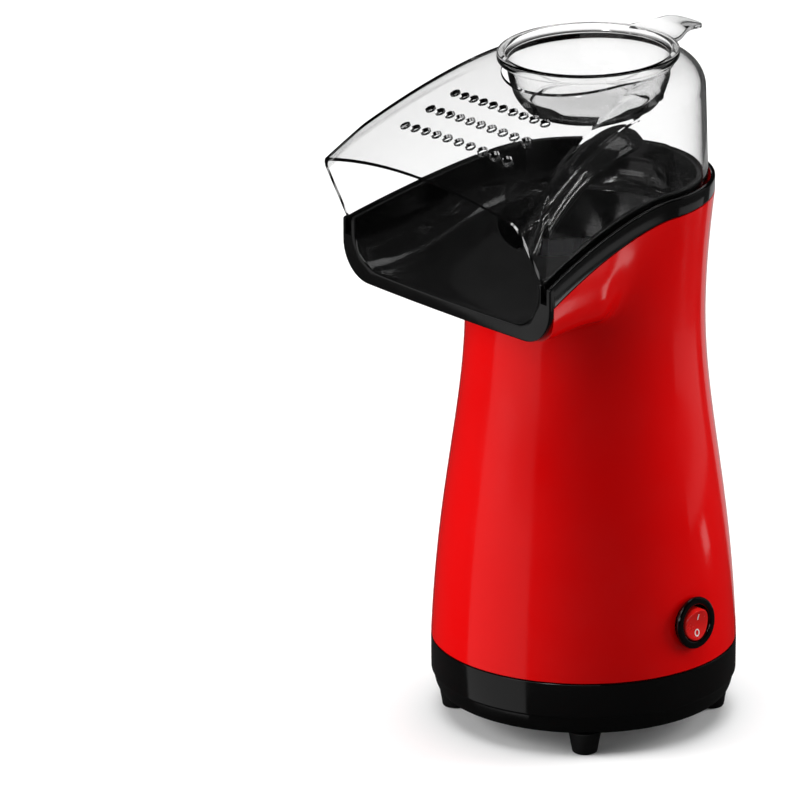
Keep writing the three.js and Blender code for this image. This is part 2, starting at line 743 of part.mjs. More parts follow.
// ---- Rocker switch, in its own frame: +Z points out of the body, +Y up it ----
const switchPlace = new THREE.Matrix4();
{
  const [x, y] = polar(BASE_RADIUS - 1.35, 90 + BASE_TURN);
  const turn = new THREE.Matrix4().makeRotationZ(THREE.MathUtils.degToRad(90 + BASE_TURN));
  const stand = new THREE.Matrix4().makeRotationX(Math.PI / 2 - SWITCH_LEAN);
  switchPlace.makeTranslation(x, y, SWITCH_HEIGHT).multiply(turn).multiply(stand);
}
function onSwitch(geometry) {
  return geometry.applyMatrix4(switchPlace);
}

const FLANGE_RADIUS = 11.5;
const CAVITY_RADIUS = 8.2;

// A rod across the switch on the axis that the rocker turns about.
function pivotAxis(radius, reach) {
  return rod(radius, -reach, reach, 12).rotateY(Math.PI / 2).translate(0, 0, ROCKER_PIVOT);
}

function switchHousing() {
  const shell = turned([
    [0, -16],
    [9.8, -16],
    [9.8, 1.3],
    [FLANGE_RADIUS, 1.3],
    [FLANGE_RADIUS, 2.2],
    [FLANGE_RADIUS - 0.9, 3.1],
    [CAVITY_RADIUS + 0.7, 3.1],
    [CAVITY_RADIUS, 2.4],
    [CAVITY_RADIUS, -10],
    [0, -10],
  ], 28);
  return cut(shell, pivotAxis(0.95, 12));
}

function switchRocker() {
  const profile = new THREE.Shape([
    new THREE.Vector2(-7.4, -3.2),
    new THREE.Vector2(0, -6.6),
    new THREE.Vector2(7.4, -3.2),
    new THREE.Vector2(7.4, 4.4),
    new THREE.Vector2(3.8, 3.2),
    new THREE.Vector2(0, 2.8),
    new THREE.Vector2(-3.8, 3.2),
    new THREE.Vector2(-7.4, 4.4),
  ]);
  // The profile's x runs up the body and its y points out.
  const bar = new THREE.ExtrudeGeometry(profile, { depth: 16, bevelEnabled: false }).translate(0, 0, -8);
  bar.applyMatrix4(new THREE.Matrix4().makeBasis(
    new THREE.Vector3(0, 1, 0),
    new THREE.Vector3(0, 0, 1),
    new THREE.Vector3(1, 0, 0),
  ));
  const round = rod(7.15, -9, 9, 36);
  const level = cut(common(bar, round), pivotAxis(0.95, 12));
  level.translate(0, 0, -ROCKER_PIVOT).rotateX(ROCKER_TILT).translate(0, 0, ROCKER_PIVOT);
  return level;
}

// ---- Fan, motor and heater ----
function fanHousing() {
  const shell = turned([
    [5.6, FAN_FLOOR],
    [FAN_RADIUS, FAN_FLOOR],
    [FAN_RADIUS, FAN_TOP],
    [FAN_RADIUS - 1.5, FAN_TOP],
    [FAN_RADIUS - 1.5, FAN_FLOOR + 2.5],
    [5.6, FAN_FLOOR + 2.5],
  ], 32);
  const inlets = Array.from({ length: 8 }, (_, i) => {
    return rod(6, FAN_FLOOR - 2, FAN_FLOOR + 5, 8).translate(...polar(27, 45 * i), 0);
  });
  const postHoles = postAzimuths.map((azimuth) => {
    return rod(1.8, FAN_FLOOR - 2, FAN_FLOOR + 5, 8).translate(...polar(POST_CIRCLE, azimuth), 0);
  });
  const motorHoles = motorScrewAzimuths.map((azimuth) => {
    return rod(1.7, FAN_FLOOR - 2, FAN_FLOOR + 5, 8).translate(...polar(MOTOR_SCREW_CIRCLE, azimuth), 0);
  });
  return cut(shell, ...inlets, ...postHoles, ...motorHoles);
}

function motorBody() {
  const can = turned([
    [2, MOTOR_BOTTOM],
    [15, MOTOR_BOTTOM],
    [17.5, MOTOR_BOTTOM + 2.5],
    [17.5, POST_TOP],
    [5, POST_TOP],
    [5, FAN_FLOOR + 2],
    [2, FAN_FLOOR + 2],
  ], 24);
  const holes = motorScrewAzimuths.map((azimuth) => {
    return rod(1.6, POST_TOP - 6, POST_TOP + 1, 8).translate(...polar(MOTOR_SCREW_CIRCLE, azimuth), 0);
  });
  return cut(can, ...holes);
}

function impeller() {
  const disc = rod(42, 72, 73.4, 28);
  const hub = rod(5, 70, 86, 16);
  const blades = Array.from({ length: 12 }, (_, i) => {
    return block(26, 1.2, 12, 26, 6, 79).rotateZ((Math.PI * i) / 6);
  });
  return cut(join(disc, hub, ...blades), rod(1.7, 60, 90, 12));
}

function heaterFormer() {
  const hub = tube(5, 6.5, 106.4, 117, 14);
  const fins = Array.from({ length: 6 }, (_, i) => {
    const foot = block(35, 1.2, 1.2, 22.6, 0, 106.2);
    const fin = block(24.5, 1.2, 14, 18, 0, 113);
    return join(foot, fin).rotateZ((Math.PI * i) / 3);
  });
  return join(hub, ...fins);
}

function heaterCoil() {
  const turns = 3;
  const points = Array.from({ length: turns * 12 + 1 }, (_, i) => {
    const angle = (Math.PI * i) / 6;
    return [32.2 * Math.cos(angle), 32.2 * Math.sin(angle), 109.5 + (i / 12) * 3.6];
  });
  return wire(points, 1.2, turns * 14, 6);
}

// A stepped metal cap that hangs under the middle of the chamber.
function thermostat() {
  const top = CHAMBER_BOTTOM - GAP;
  return turned([[0, top - 8.7], [6, top - 8.7], [6, top - 5.7], [8, top - 5.7], [8, top], [0, top]], 24);
}

function heatShield() {
  const body = turned([
    [36.6, 104],
    [FAN_RADIUS, 104],
    [FAN_RADIUS, 105],
    [SHIELD_RADIUS, 105],
    [SHIELD_RADIUS, 203.2],
    [48.4, 203.2],
    [48.4, 204.2],
    [SHIELD_RADIUS - 1, 204.2],
    [SHIELD_RADIUS - 1, 105],
    [36.6, 105],
  ], 32);
  const holes = bossAzimuths.map((azimuth) => {
    return rod(1.9, 200, 208, 8).translate(...polar(BOSS_CIRCLE, azimuth), 0);
  });
  return cut(body, ...holes);
}

function poppingChamber() {
  const skin = 1;
  const inside = CHAMBER_RADIUS - skin;
  const pot = turned([
    [0, CHAMBER_BOTTOM],
    [26, CHAMBER_BOTTOM],
    [CHAMBER_RADIUS - 2, CHAMBER_BOTTOM + 2.5],
    [CHAMBER_RADIUS, CHAMBER_BOTTOM + 8],
    [CHAMBER_RADIUS, 204.5],
    [SHIELD_RADIUS - 1.5, 204.5],
    [SHIELD_RADIUS - 1.5, 205.3],
    [inside, 205.3],
    [inside, CHAMBER_BOTTOM + 8.4],
    [inside - 2, CHAMBER_BOTTOM + 3.4],
    [25.6, CHAMBER_BOTTOM + skin],
    [0, CHAMBER_BOTTOM + skin],
  ], 32);
  const louvres = Array.from({ length: 14 }, (_, i) => {
    const slot = block(12, 2, 13, CHAMBER_RADIUS, 0, 0).rotateX(THREE.MathUtils.degToRad(35));
    return slot.translate(0, 0, CHAMBER_BOTTOM + 18).rotateZ((2 * Math.PI * i) / 14);
  });
  return cut(pot, ...louvres);
}

// ---- Assembly ----
const maker = new THREE.Group();
maker.position.copy(ORIGIN_SHIFT);

function piece(name, geometry, material, parent = maker) {
  const mesh = new THREE.Mesh(geometry, material);
  mesh.name = name;
  parent.add(mesh);
  return mesh;
}

function ringOf(name, azimuths, radius, make, material) {
  azimuths.forEach((azimuth, i) => {
    const [x, y] = polar(radius, azimuth);
    piece(`${name}_${i + 1}`, make(), material).position.set(x, y, 0);
  });
}

piece("base_cover", baseCover(), BLACK_SATIN);
ringOf("foot", footAzimuths, FOOT_CIRCLE, foot, BLACK_RUBBER);
ringOf("base_screw", pillarAzimuths, PILLAR_CIRCLE, () => screw(15.3 - GAP, 34), STEEL);
piece("cord_gland", cordGland(), BLACK_RUBBER);

piece("body_shell", bodyShell(), RED_GLOSS);
piece("chute", chute(), BLACK_SATIN);
piece("kernel_guard", kernelGuard(), BLACK_SATIN);
piece("guard_screw", guardScrew(), STEEL);
piece("clear_cover", clearCover(), CLEAR);

const cup = piece("measuring_cup", measuringCup(), CLEAR);
cup.position.set(0, RING_CENTRE, CUP_HEIGHT);
cup.rotation.x = CUP_TILT;

piece("switch_housing", onSwitch(switchHousing()), BLACK_SATIN);
piece("switch_rocker", onSwitch(switchRocker()), ROCKER_RED);
piece("switch_pivot", onSwitch(pivotAxis(0.7, 9.6)), STEEL);
[-4.5, 4.5].forEach((height, i) => {
  const blade = block(6.3, 0.8, 8, 0, height, -16 - GAP - 4);
  piece(`switch_terminal_${i + 1}`, onSwitch(blade), BRASS);
});

piece("fan_housing", fanHousing(), BLACK_SATIN);
ringOf("fan_screw", postAzimuths, POST_CIRCLE, () => {
  return screw(0, 13, 1.3, 2.8, 1.8).rotateX(Math.PI).translate(0, 0, FAN_FLOOR + 2.5 + GAP);
}, STEEL);
ringOf("motor_screw", motorScrewAzimuths, MOTOR_SCREW_CIRCLE, () => {
  return screw(0, 7, 1.3, 2.5, 1.6).rotateX(Math.PI).translate(0, 0, FAN_FLOOR + 2.5 + GAP);
}, STEEL);
piece("motor_body", motorBody(), STEEL);
piece("motor_shaft", rod(1.5, MOTOR_BOTTOM + 0.5, 85, 16), BRIGHT_METAL);
piece("impeller", impeller(), BLACK_SATIN);
piece("rectifier_board", rod(14, BOARD_TOP - BOARD_THICKNESS, BOARD_TOP, 28), BOARD);
[[-6, -5], [6, -5], [-6, 5], [6, 5]].forEach(([x, y], i) => {
  const radius = 1.4;
  const diode = rod(radius, -2.6, 2.6, 12).rotateX(Math.PI / 2);
  piece(`diode_${i + 1}`, diode, BLACK_SATIN).position.set(x, y, BOARD_TOP - BOARD_THICKNESS - GAP - radius);
});

piece("heater_former", heaterFormer(), MICA);
piece("heater_coil", heaterCoil(), BRIGHT_METAL);
piece("mica_sleeve", tube(37.2, 37.8, 107.2, 128, 24), MICA);
piece("thermostat", thermostat(), BRIGHT_METAL);
piece("thermal_fuse", rod(2, -6, 6, 14).rotateX(Math.PI / 2), CERAMIC).position.set(14, 0, 127.5);
piece("heat_shield", heatShield(), BRIGHT_METAL);
piece("popping_chamber", poppingChamber(), BRIGHT_METAL);
ringOf("chute_screw", bossAzimuths, BOSS_CIRCLE, () => screw(202.9, 14, 1.2, 2.4, 1.6), STEEL);

piece("terminal_block", block(18, 7, 12, 0, FAN_RADIUS + GAP + 3.5, 90), CERAMIC);
const LEAD_RADIUS = 1.2;
const fromGland = [[2, 56, 31], [12, 50, 34], [27, 38, 42], [40, 22, 49], [46, 12, 51], [46.5, 7.6, 51.8]];
const glandToBlock = [[-2, 56, 31], [-8, 55, 40], [-9, 53, 56], [-6, 51, 72], [-5, 50, 83.5]];
const switchToBlock = [
  [47, 7.6, 60.8],
  [47, 13, 61.5],
  [47.5, 21, 65],
  [44, 31, 69],
  [34, 42, 72],
  [18, 50, 73],
  [7, 51, 76],
  [6, 50, 83.5],
];
piece("lead_live", wire(fromGland, LEAD_RADIUS, 14), LEAD);
piece("lead_neutral", wire(glandToBlock, LEAD_RADIUS, 12), LEAD);
piece("lead_switched", wire(switchToBlock, LEAD_RADIUS, 18), LEAD);

export default maker;
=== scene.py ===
"""Fine surfaces, materials, studio and camera for a hot-air popcorn maker.

Shapes are worked out in millimetres about the axis of the round body, as the solids are:
the spout points to -Y and the switch to +X. ROW moves them into the part's own frame, in metres.
"""
import json
import math

import bmesh
import bpy
from mathutils import Matrix, Vector

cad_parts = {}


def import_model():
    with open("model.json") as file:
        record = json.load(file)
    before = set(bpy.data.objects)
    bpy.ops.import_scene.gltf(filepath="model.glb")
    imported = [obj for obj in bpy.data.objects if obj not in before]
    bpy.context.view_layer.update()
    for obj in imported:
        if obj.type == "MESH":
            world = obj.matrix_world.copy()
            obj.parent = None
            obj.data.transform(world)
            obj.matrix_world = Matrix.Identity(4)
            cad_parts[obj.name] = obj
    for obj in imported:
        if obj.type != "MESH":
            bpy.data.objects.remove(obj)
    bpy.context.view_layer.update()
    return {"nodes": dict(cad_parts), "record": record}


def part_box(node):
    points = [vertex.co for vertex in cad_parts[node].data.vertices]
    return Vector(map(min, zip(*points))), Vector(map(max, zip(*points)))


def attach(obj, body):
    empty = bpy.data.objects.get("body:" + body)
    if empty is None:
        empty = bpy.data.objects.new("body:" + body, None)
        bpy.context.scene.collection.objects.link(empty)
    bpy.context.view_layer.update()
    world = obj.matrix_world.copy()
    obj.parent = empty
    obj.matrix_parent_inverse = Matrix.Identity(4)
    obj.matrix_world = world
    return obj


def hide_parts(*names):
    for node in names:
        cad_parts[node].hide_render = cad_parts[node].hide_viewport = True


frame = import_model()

SCENE = bpy.context.scene
AXIS = sum(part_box("motor_shaft"), Vector()) / 2
ROW = Matrix.Translation((AXIS.x, AXIS.y, 0)) @ Matrix.Scale(0.001, 4)

# ---- Driving dimensions, in millimetres ----
GAP = 0.3  # between two pieces that touch
WALL = 2.5  # moulded plastic

FOOT_HEIGHT = 10.2
FOOT_CIRCLE = 56.4
UNDERSIDE = FOOT_HEIGHT + GAP
BASE_RADIUS = 67
SEAM = 35  # between the base and the body
BASE_TURN = 4.3  # degrees that the base and the switch are turned from the spout
SPIGOT_TOP = 41
SPIGOT_RADIUS = 63.6
FLOOR_TOP = UNDERSIDE + WALL
POST_CIRCLE = 38
POST_TOP = 63.7
PILLAR_CIRCLE = 55.5
GLAND_HEIGHT = 27

NECK_RADIUS = 52.2
NECK_TOP = 184  # where the body starts to flare out to the chute
BODY_FRONT = -98  # the flare is made to here, and then cut back to the spout's frame

RING_RADIUS = 55  # outside of the chute at the back
RING_CENTRE = 1  # its centre lies this far behind the body's axis
MOUTH_Y = -80
MOUTH_WIDEN = 13
RING_TOP = 245.5
MOUTH_DROP = 19.8
MOUTH_BOTTOM = 199
MOUTH_CORNER = 17
FRAME_DEPTH = 2.8
LIP_INSET = 8
GROOVE_DEPTH = 7.5
GROOVE_FROM = 1.9
GROOVE_TO = 5.8
TROUGH_FLOOR = 205.5
SHELF = 225.5
THROAT_RADIUS = 40
THROAT_FOOT_RADIUS = 33.6
THROAT_BOTTOM = 205.6
BOSS_CIRCLE = 45
EDGE = 0.7  # rounding of moulded edges
EDGE_STEPS = (0, 0.1, 0.3, 0.6)  # shares of it at which the rounding has a ring

COVER_INSET = 2.7
COVER_WALL = 2.2
COVER_TOP = 296.3
COVER_DRAFT = 1.6
HOOD_FRONT = -112
HOLE_RADIUS = 37.3
VENT_RADIUS = 2.3
VENT_ROWS = [(-50.5, 6.5), (-63, 6.9), (-75.5, 7.4)]  # y at the middle, spacing
VENTS_IN_ROW = 10

CUP_TILT = math.radians(2)
CUP_HEIGHT = 299.2

GUARD_SCREW_HEIGHT = 212
GUARD_THICKNESS = 1.8

SWITCH_HEIGHT = 56.2
SWITCH_INSET = 1.35
SWITCH_LEAN = math.radians(4.6)
FLANGE_RADIUS = 11.5
CAVITY_RADIUS = 8.2
ROCKER_RADIUS = 7.15
ROCKER_TILT = math.radians(9)
ROCKER_PIVOT = -1.5

PILLARS = [azimuth + BASE_TURN for azimuth in (20, 110, 200, 290)]
POSTS = [30, 150, 270]
FEET = [azimuth + BASE_TURN for azimuth in (45, 135, 225, 315)]
BOSSES = [60, 180, 300]


# ---- Numbers ----
def clamp(value, low=0.0, high=1.0):
    return max(low, min(high, value))


def lerp(a, b, t):
    return a + (b - a) * t


def smooth(t):
    t = clamp(t)
    return t * t * (3 - 2 * t)


def steps(count, start=0.0, end=1.0):
    """count + 1 even values from start to end."""
    return [lerp(start, end, i / count) for i in range(count + 1)]


def polar(radius, azimuth):
    """A point on a circle: azimuth 0 is the spout's side and 90 is +X."""
    angle = math.radians(azimuth)
    return radius * math.sin(angle), -radius * math.cos(angle)


def bezier(handles, t, weights=(1, 1, 1, 1)):
    """A point of a rational cubic, as a tuple."""
    share = [(1 - t) ** 3, 3 * t * (1 - t) ** 2, 3 * t * t * (1 - t), t**3]
    share = [s * w for s, w in zip(share, weights)]
    total = sum(share)
    return tuple(sum(s * h[i] for s, h in zip(share, handles)) / total for i in range(len(handles[0])))


def rounded(corners, radii, arc=5):
    """A closed outline with each corner rounded off from radius back along both of its sides."""
    points = []
    for i, (corner, radius) in enumerate(zip(corners, radii)):
        here = Vector(corner)
        if not radius:
            points.append(tuple(here))
            continue
        back = (Vector(corners[i - 1]) - here).normalized() * radius
        on = (Vector(corners[(i + 1) % len(corners)]) - here).normalized() * radius
        for angle in steps(arc, 0, math.pi / 2):
            points.append(tuple(here + back * (1 - math.sin(angle)) + on * (1 - math.cos(angle))))
    return points


# ---- Solids: turned, lofted, cut and joined ----
def solid(points, faces):
    """A closed mesh object with its faces out."""
    mesh = bpy.data.meshes.new("solid")
    mesh.from_pydata([tuple(p) for p in points], [], faces)
    work = bmesh.new()
    work.from_mesh(mesh)
    bmesh.ops.remove_doubles(work, verts=work.verts, dist=1e-4)
    bmesh.ops.dissolve_degenerate(work, edges=work.edges, dist=1e-5)
    bmesh.ops.delete(work, geom=[edge for edge in work.edges if not edge.link_faces], context="EDGES")
    bmesh.ops.recalc_face_normals(work, faces=work.faces)
    work.to_mesh(mesh)
    work.free()
    made = bpy.data.objects.new("solid", mesh)
    SCENE.collection.objects.link(made)
    return made


def loft(rings, loop=False):
    """A closed body through rings of equal length.

    A loop joins the last ring to the first, and otherwise each end is capped.
    """
    count = len(rings[0])
    points = [p for ring in rings for p in ring]
    faces = []
    for i in range(len(rings) if loop else len(rings) - 1):
        here, there = i * count, (i + 1) % len(rings) * count
        for j in range(count):
            k = (j + 1) % count
            faces.append((here + j, here + k, there + k, there + j))
    if not loop:
        faces.append(tuple(reversed(range(count))))
        faces.append(tuple(range(len(points) - count, len(points))))
    return solid(points, faces)


def turned(profile, segments=96):
    """A closed profile of (radius, height) points turned about Z."""
    rings = []
    for i in range(segments):
        angle = 2 * math.pi * i / segments
        rings.append([(r * math.cos(angle), r * math.sin(angle), z) for r, z in profile])
    return loft(rings, loop=True)


def rod(radius, bottom, top, segments=32):
    return turned([(0, bottom), (radius, bottom), (radius, top), (0, top)], segments)


def block(width, depth, height, place=(0, 0, 0)):
    x, y, z = width / 2, depth / 2, height / 2
    ring = [(-x, -y), (x, -y), (x, y), (-x, y)]
    return placed(loft([[(*p, -z) for p in ring], [(*p, z) for p in ring]]), Matrix.Translation(place))


def placed(made, matrix):
    made.data.transform(matrix)
    return made


def at(x, y, z=0):
    return Matrix.Translation((x, y, z))


def turn(axis, angle):
    return Matrix.Rotation(angle, 4, axis)


def combine(base, tools, operation):
    """base with the tools taken away, added or kept in common. The tools are used up."""
    for tool in tools:
        step = base.modifiers.new("step", "BOOLEAN")
        step.object = tool
        step.operation = operation
        step.solver = "MANIFOLD"
    graph = bpy.context.evaluated_depsgraph_get()
    mesh = bpy.data.meshes.new_from_object(base.evaluated_get(graph))
    base.modifiers.clear()
    base.data = mesh
    for tool in tools:
        bpy.data.objects.remove(tool)
    return base


def cut(base, *tools):
    return combine(base, tools, "DIFFERENCE")


def join(base, *others):
    return combine(base, others, "UNION")


def common(base, other):
    return combine(base, [other], "INTERSECT")


def show(made, name, body, material, nodes=(), crease=30):
    """Names the piece, gives it its material and smooth shading, and hides the CAD nodes that it takes the
    place of.
    """
    made.name = made.data.name = name
    made.data.transform(ROW)
    made.data.shade_smooth()
    made.data.set_sharp_from_angle(angle=math.radians(crease))
    made.data.materials.clear()
    made.data.materials.append(material)
    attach(made, body)
    if nodes:
        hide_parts(*nodes)
    return made


# ---- Shared shape of the chute, the body's flare and the cover ----
def towards_mouth(y):
    """0 beside the ring's centre, 1 at the mouth."""
    return clamp((RING_CENTRE - y) / (RING_CENTRE - MOUTH_Y))


def half_width(y):
    return RING_RADIUS + MOUTH_WIDEN * towards_mouth(y) ** 1.5


def band_top(y):
    return RING_TOP - MOUTH_DROP * towards_mouth(y) ** 1.5


def band_bottom(y):
    return band_top(y) - 6 - 4 * clamp((45 - y) / 125) ** 0.6


def trough_floor(y):
    return lerp(TROUGH_FLOOR, SHELF, smooth((y - MOUTH_Y) / 75))


def outline(inset, front, arc=96, side=44, across=24):
    """Plan of the chute, in from its outside by inset, and closed across the front."""
    radius = RING_RADIUS - inset
    points = []
    for angle in steps(arc, 0, math.pi):
        points.append(Vector((radius * math.cos(angle), RING_CENTRE + radius * math.sin(angle))))
    sides = steps(side, RING_CENTRE, front)[1:]
    points += [Vector((inset - half_width(y), y)) for y in sides]
    corner = half_width(front) - inset
    points += [Vector((x, front)) for x in steps(across, -corner, corner)[1:-1]]
    points += [Vector((half_width(y) - inset, y)) for y in reversed(sides)]
    return points


def horseshoe(section, front, back=72, side=44):
    """A wall round the back and both sides, open at the mouth.

    section(y) gives the wall's corners there as (inset, height).
    """
    near = [front + EDGE * t for t in EDGE_STEPS]
    sides = near + steps(side, front + EDGE, RING_CENTRE)
    rings = [[(half_width(y) - d, y, z) for d, z in section(y)] for y in sides]
    for angle in steps(back, 0, math.pi)[1:-1]:
        across, along = math.cos(angle), math.sin(angle)
        ring = []
        for d, z in section(RING_CENTRE + RING_RADIUS * along):
            ring.append(((RING_RADIUS - d) * across, RING_CENTRE + (RING_RADIUS - d) * along, z))
        rings.append(ring)
    rings += [[(d - half_width(y), y, z) for d, z in section(y)] for y in reversed(sides)]
    return loft(rings)


def u_shape(half, bottom, top, radius, sag=0.0, arc=12, across=8):
    """Half-round-cornered U from one top corner to the other, as (x, z)."""
    points = [(-half, top)]
    for angle in steps(arc, 0, math.pi / 2):
        points.append((radius - half - radius * math.cos(angle), bottom + radius * (1 - math.sin(angle))))
    flat = half - radius
    points += [(x, bottom - sag * (1 - (x / flat) ** 2)) for x in steps(across, -flat, 0)[1:]]
    return points + [(-x, z) for x, z in reversed(points[:-1])]


def front_round(y, radius=EDGE):
    """How far an edge at the front of the spout is drawn in by its rounding."""
    t = clamp((y - MOUTH_Y) / radius)
    return radius * (1 - math.sqrt(1 - (1 - t) ** 2))


# ---- Base ----
def vent_slots(count, inner, outer, width):
    slots = []
    for i in range(count):
        slot = block(outer - inner, width, 4 * WALL, ((inner + outer) / 2, 0, UNDERSIDE))
        slots.append(placed(slot, turn("Z", 2 * math.pi * i / count)))
    return slots


def base_cover():
    outside = [(62, UNDERSIDE), (63.8, 11.4), (65, 13.4), (66.1, 18.8), (BASE_RADIUS - 0.1, 19.4)]
    outside += [(BASE_RADIUS, SEAM - GAP), (SPIGOT_RADIUS, SEAM - GAP), (SPIGOT_RADIUS, SPIGOT_TOP)]
    inside = [(BASE_RADIUS - 2 * WALL, SPIGOT_TOP), (BASE_RADIUS - 2 * WALL, FLOOR_TOP), (0, FLOOR_TOP)]
    radii = [1.5, 0.9, 1.6, 0.25, 0.5, 0.5, 0, 0.4, 0.4, 3, 0]
    shell = turned(rounded([(0, UNDERSIDE)] + outside + inside, [0] + radii), 160)
    solids = [placed(rod(4.5, UNDERSIDE, SPIGOT_TOP - 1), at(*polar(PILLAR_CIRCLE, a))) for a in PILLARS]
    solids += [placed(rod(4.5, UNDERSIDE, POST_TOP), at(*polar(POST_CIRCLE, a))) for a in POSTS]
    holes = [placed(rod(1.9, 0, SEAM + 3 * WALL), at(*polar(PILLAR_CIRCLE, a))) for a in PILLARS]
    holes += [placed(rod(3.6, 0, 15), at(*polar(PILLAR_CIRCLE, a))) for a in PILLARS]
    holes += [placed(rod(1.6, POST_TOP - 14, POST_TOP + 1), at(*polar(POST_CIRCLE, a))) for a in POSTS]
    holes += [placed(rod(2.8, 0, FLOOR_TOP + 1), at(*polar(FOOT_CIRCLE, a))) for a in FEET]
    gland = placed(rod(5.6, 50, 75), at(0, 0, GLAND_HEIGHT) @ turn("X", -math.pi / 2))
    slots = vent_slots(12, 10, 30, 3.4) + vent_slots(12, 43.6, 49.4, 3.4)
    return cut(join(shell, *solids), *holes, gland, *slots)


def foot():
    pad = [(0, 0), (5.4, 0), (7.2, FOOT_HEIGHT)]
    stem = [(2.5, FOOT_HEIGHT), (2.5, FLOOR_TOP + 2), (0, FLOOR_TOP + 2)]
    return turned(rounded(pad + stem, [0, 0.9, 0.5, 0, 0.4, 0]), 48)


def cord_gland():
    inside = BASE_RADIUS - 2 * WALL - 3 * GAP
    outside = BASE_RADIUS + GAP
    corners = [(3.4, inside - 3), (7, inside - 3), (7, inside), (5.2, inside)]
    corners += [(5.2, outside), (7.6, outside), (6.4, outside + 2.4), (3.4, outside + 2.4)]
    collar = turned(rounded(corners, [0.3, 0.5, 0, 0, 0, 0.5, 0.8, 0.6]), 64)
    return placed(collar, at(0, 0, GLAND_HEIGHT) @ turn("X", -math.pi / 2))


# ---- Body shell ----
WAIST = [(BASE_RADIUS, SEAM), (64, 106), (52.6, 138), (NECK_RADIUS, NECK_TOP)]


def flare_point(t, inset, reach, top):
    """The flare from the neck out to one point of the chute's outline, as (radius, height).

    A small step out is a trumpet; a large one turns flat under the spout and up to the band.
    """
    boxy = smooth((reach - NECK_RADIUS - 3) / 20)
    underside = MOUTH_BOTTOM + inset
    middle = lerp(lerp(NECK_RADIUS, reach, 0.5), reach, boxy)
    handles = [
        (NECK_RADIUS - inset, NECK_TOP),
        (NECK_RADIUS - inset, lerp(NECK_TOP + 0.4 * (top - NECK_TOP), underside, boxy)),
        (middle - inset, lerp(top - 0.3 * (top - NECK_TOP), underside - 2, boxy)),
        (reach - inset, top),
    ]
    weight = lerp(1, 3, boxy)
    return bezier(handles, t, (1, weight, weight, 1))


def body_skin(inset):
    """Rings of one side of the body's wall, from the seam up."""
    edge = outline(0, BODY_FRONT)
    rings = []
    for drawn_in, height in ((0.6, 0), (0.3, 0.08), (0.09, 0.28)):
        radius = BASE_RADIUS - inset - (0 if inset else drawn_in)
        rings.append([(p.x / p.length * radius, p.y / p.length * radius, SEAM + height) for p in edge])
    for t in steps(24, 0.008, 1)[:-1]:
        outside, z = bezier(WAIST, t)
        radius = outside - inset
        rings.append([(p.x / p.length * radius, p.y / p.length * radius, z) for p in edge])
    for t in steps(30):
        ring = []
        for p in edge:
            radius, z = flare_point(t, inset, p.length, band_bottom(p.y) - GAP)
            ring.append((p.x / p.length * radius, p.y / p.length * radius, z))
        rings.append(ring)
    return rings


def body_shell():
    shell = loft(body_skin(0) + body_skin(WALL)[::-1], loop=True)
    ahead = block(300, 100, 200, (0, MOUTH_Y + FRAME_DEPTH + GAP - 50, 200))
    waist = [bezier(WAIST, t) for t in steps(12)]
    within = turned([(0, SEAM)] + [(r - 1, z) for r, z in waist] + [(0, NECK_TOP)], 64)
    bosses = []
    for azimuth in PILLARS:
        boss = join(rod(4, SPIGOT_TOP, SPIGOT_TOP + 14), block(8, 8, 14, (0, -4, SPIGOT_TOP + 7)))
        bosses.append(placed(boss, at(*polar(PILLAR_CIRCLE, azimuth)) @ turn("Z", math.radians(azimuth))))
    bosses = common(join(*bosses), within)
    pilots = []
    for azimuth in PILLARS:
        pilots.append(placed(rod(1.7, SPIGOT_TOP - 1, SPIGOT_TOP + 12), at(*polar(PILLAR_CIRCLE, azimuth))))
    return cut(join(shell, bosses), ahead, *pilots, placed(rod(10.2, -10, 10, 64), SWITCH))


# ---- Chute ----
def band(outer, inner, low, high, rounding):
    """A section of the band between two insets, drawn in at the front of the spout."""
    def section(y):
        off = front_round(y)
        bottom, top = low(y), high(y) - off
        return rounded([(outer + off, bottom), (inner, bottom), (inner, top), (outer + off, top)], rounding)
    return section


def trough(grow, front, top, flare=0.0):
    """The trough's inside, or its outside when it is grown. flare rounds its edge at the mouth."""
    rings = []
    near = [front] + ([MOUTH_Y + flare * t for t in EDGE_STEPS] if flare else [])
    for y in near + steps(36, MOUTH_Y + flare, 6)[0 if flare else 1:]:
        wide = grow + (front_round(y, flare) if flare else 0)
        half = half_width(y) - LIP_INSET + wide
        corner = lerp(11, 16, towards_mouth(y)) + wide
        rings.append([(x, y, z) for x, z in u_shape(half, trough_floor(y) - wide, top, corner, 0.5)])
    return loft(rings)


def bowl(grow, top):
    rim = RING_RADIUS - LIP_INSET + grow
    throat = THROAT_RADIUS + grow
    foot_radius = THROAT_FOOT_RADIUS + grow
    shelf = SHELF - grow
    fall = [(rim, 240 - grow), (rim - 0.3, 231 - grow), (throat + 4, shelf + 0.5), (throat, shelf)]
    profile = [(0, top), (rim, top)] + [bezier(fall, t) for t in steps(24)]
    corner = [profile[-2], profile[-1], (foot_radius, THROAT_BOTTOM)]
    profile = profile[:-1] + rounded(corner, [0, 0.8, 0])[1:]
    if not grow:
        profile.append((foot_radius, THROAT_BOTTOM - 5))
    return placed(turned(profile + [(0, profile[-1][1])], 144), at(0, RING_CENTRE))


def mouth_frame():
    rings = []
    top = band_top(MOUTH_Y) - 1
    for y in [MOUTH_Y + EDGE * t for t in (*EDGE_STEPS, 1)] + [MOUTH_Y + FRAME_DEPTH]:
        off = front_round(y)
        ring = u_shape(half_width(y) - off, MOUTH_BOTTOM + off, top, MOUTH_CORNER - off, 0.5)
        rings.append([(x, y, z) for x, z in ring])
    return loft(rings)


def below_band():
    """The space that the pan's walls may take, up to just under the band's top."""
    half, bottom = 90, 190
    rings = []
    for y in steps(40, MOUTH_Y - 1, 60):
        top = band_top(y) - 1
        rings.append([(-half, y, bottom), (half, y, bottom), (half, y, top), (-half, y, top)])
    return loft(rings)


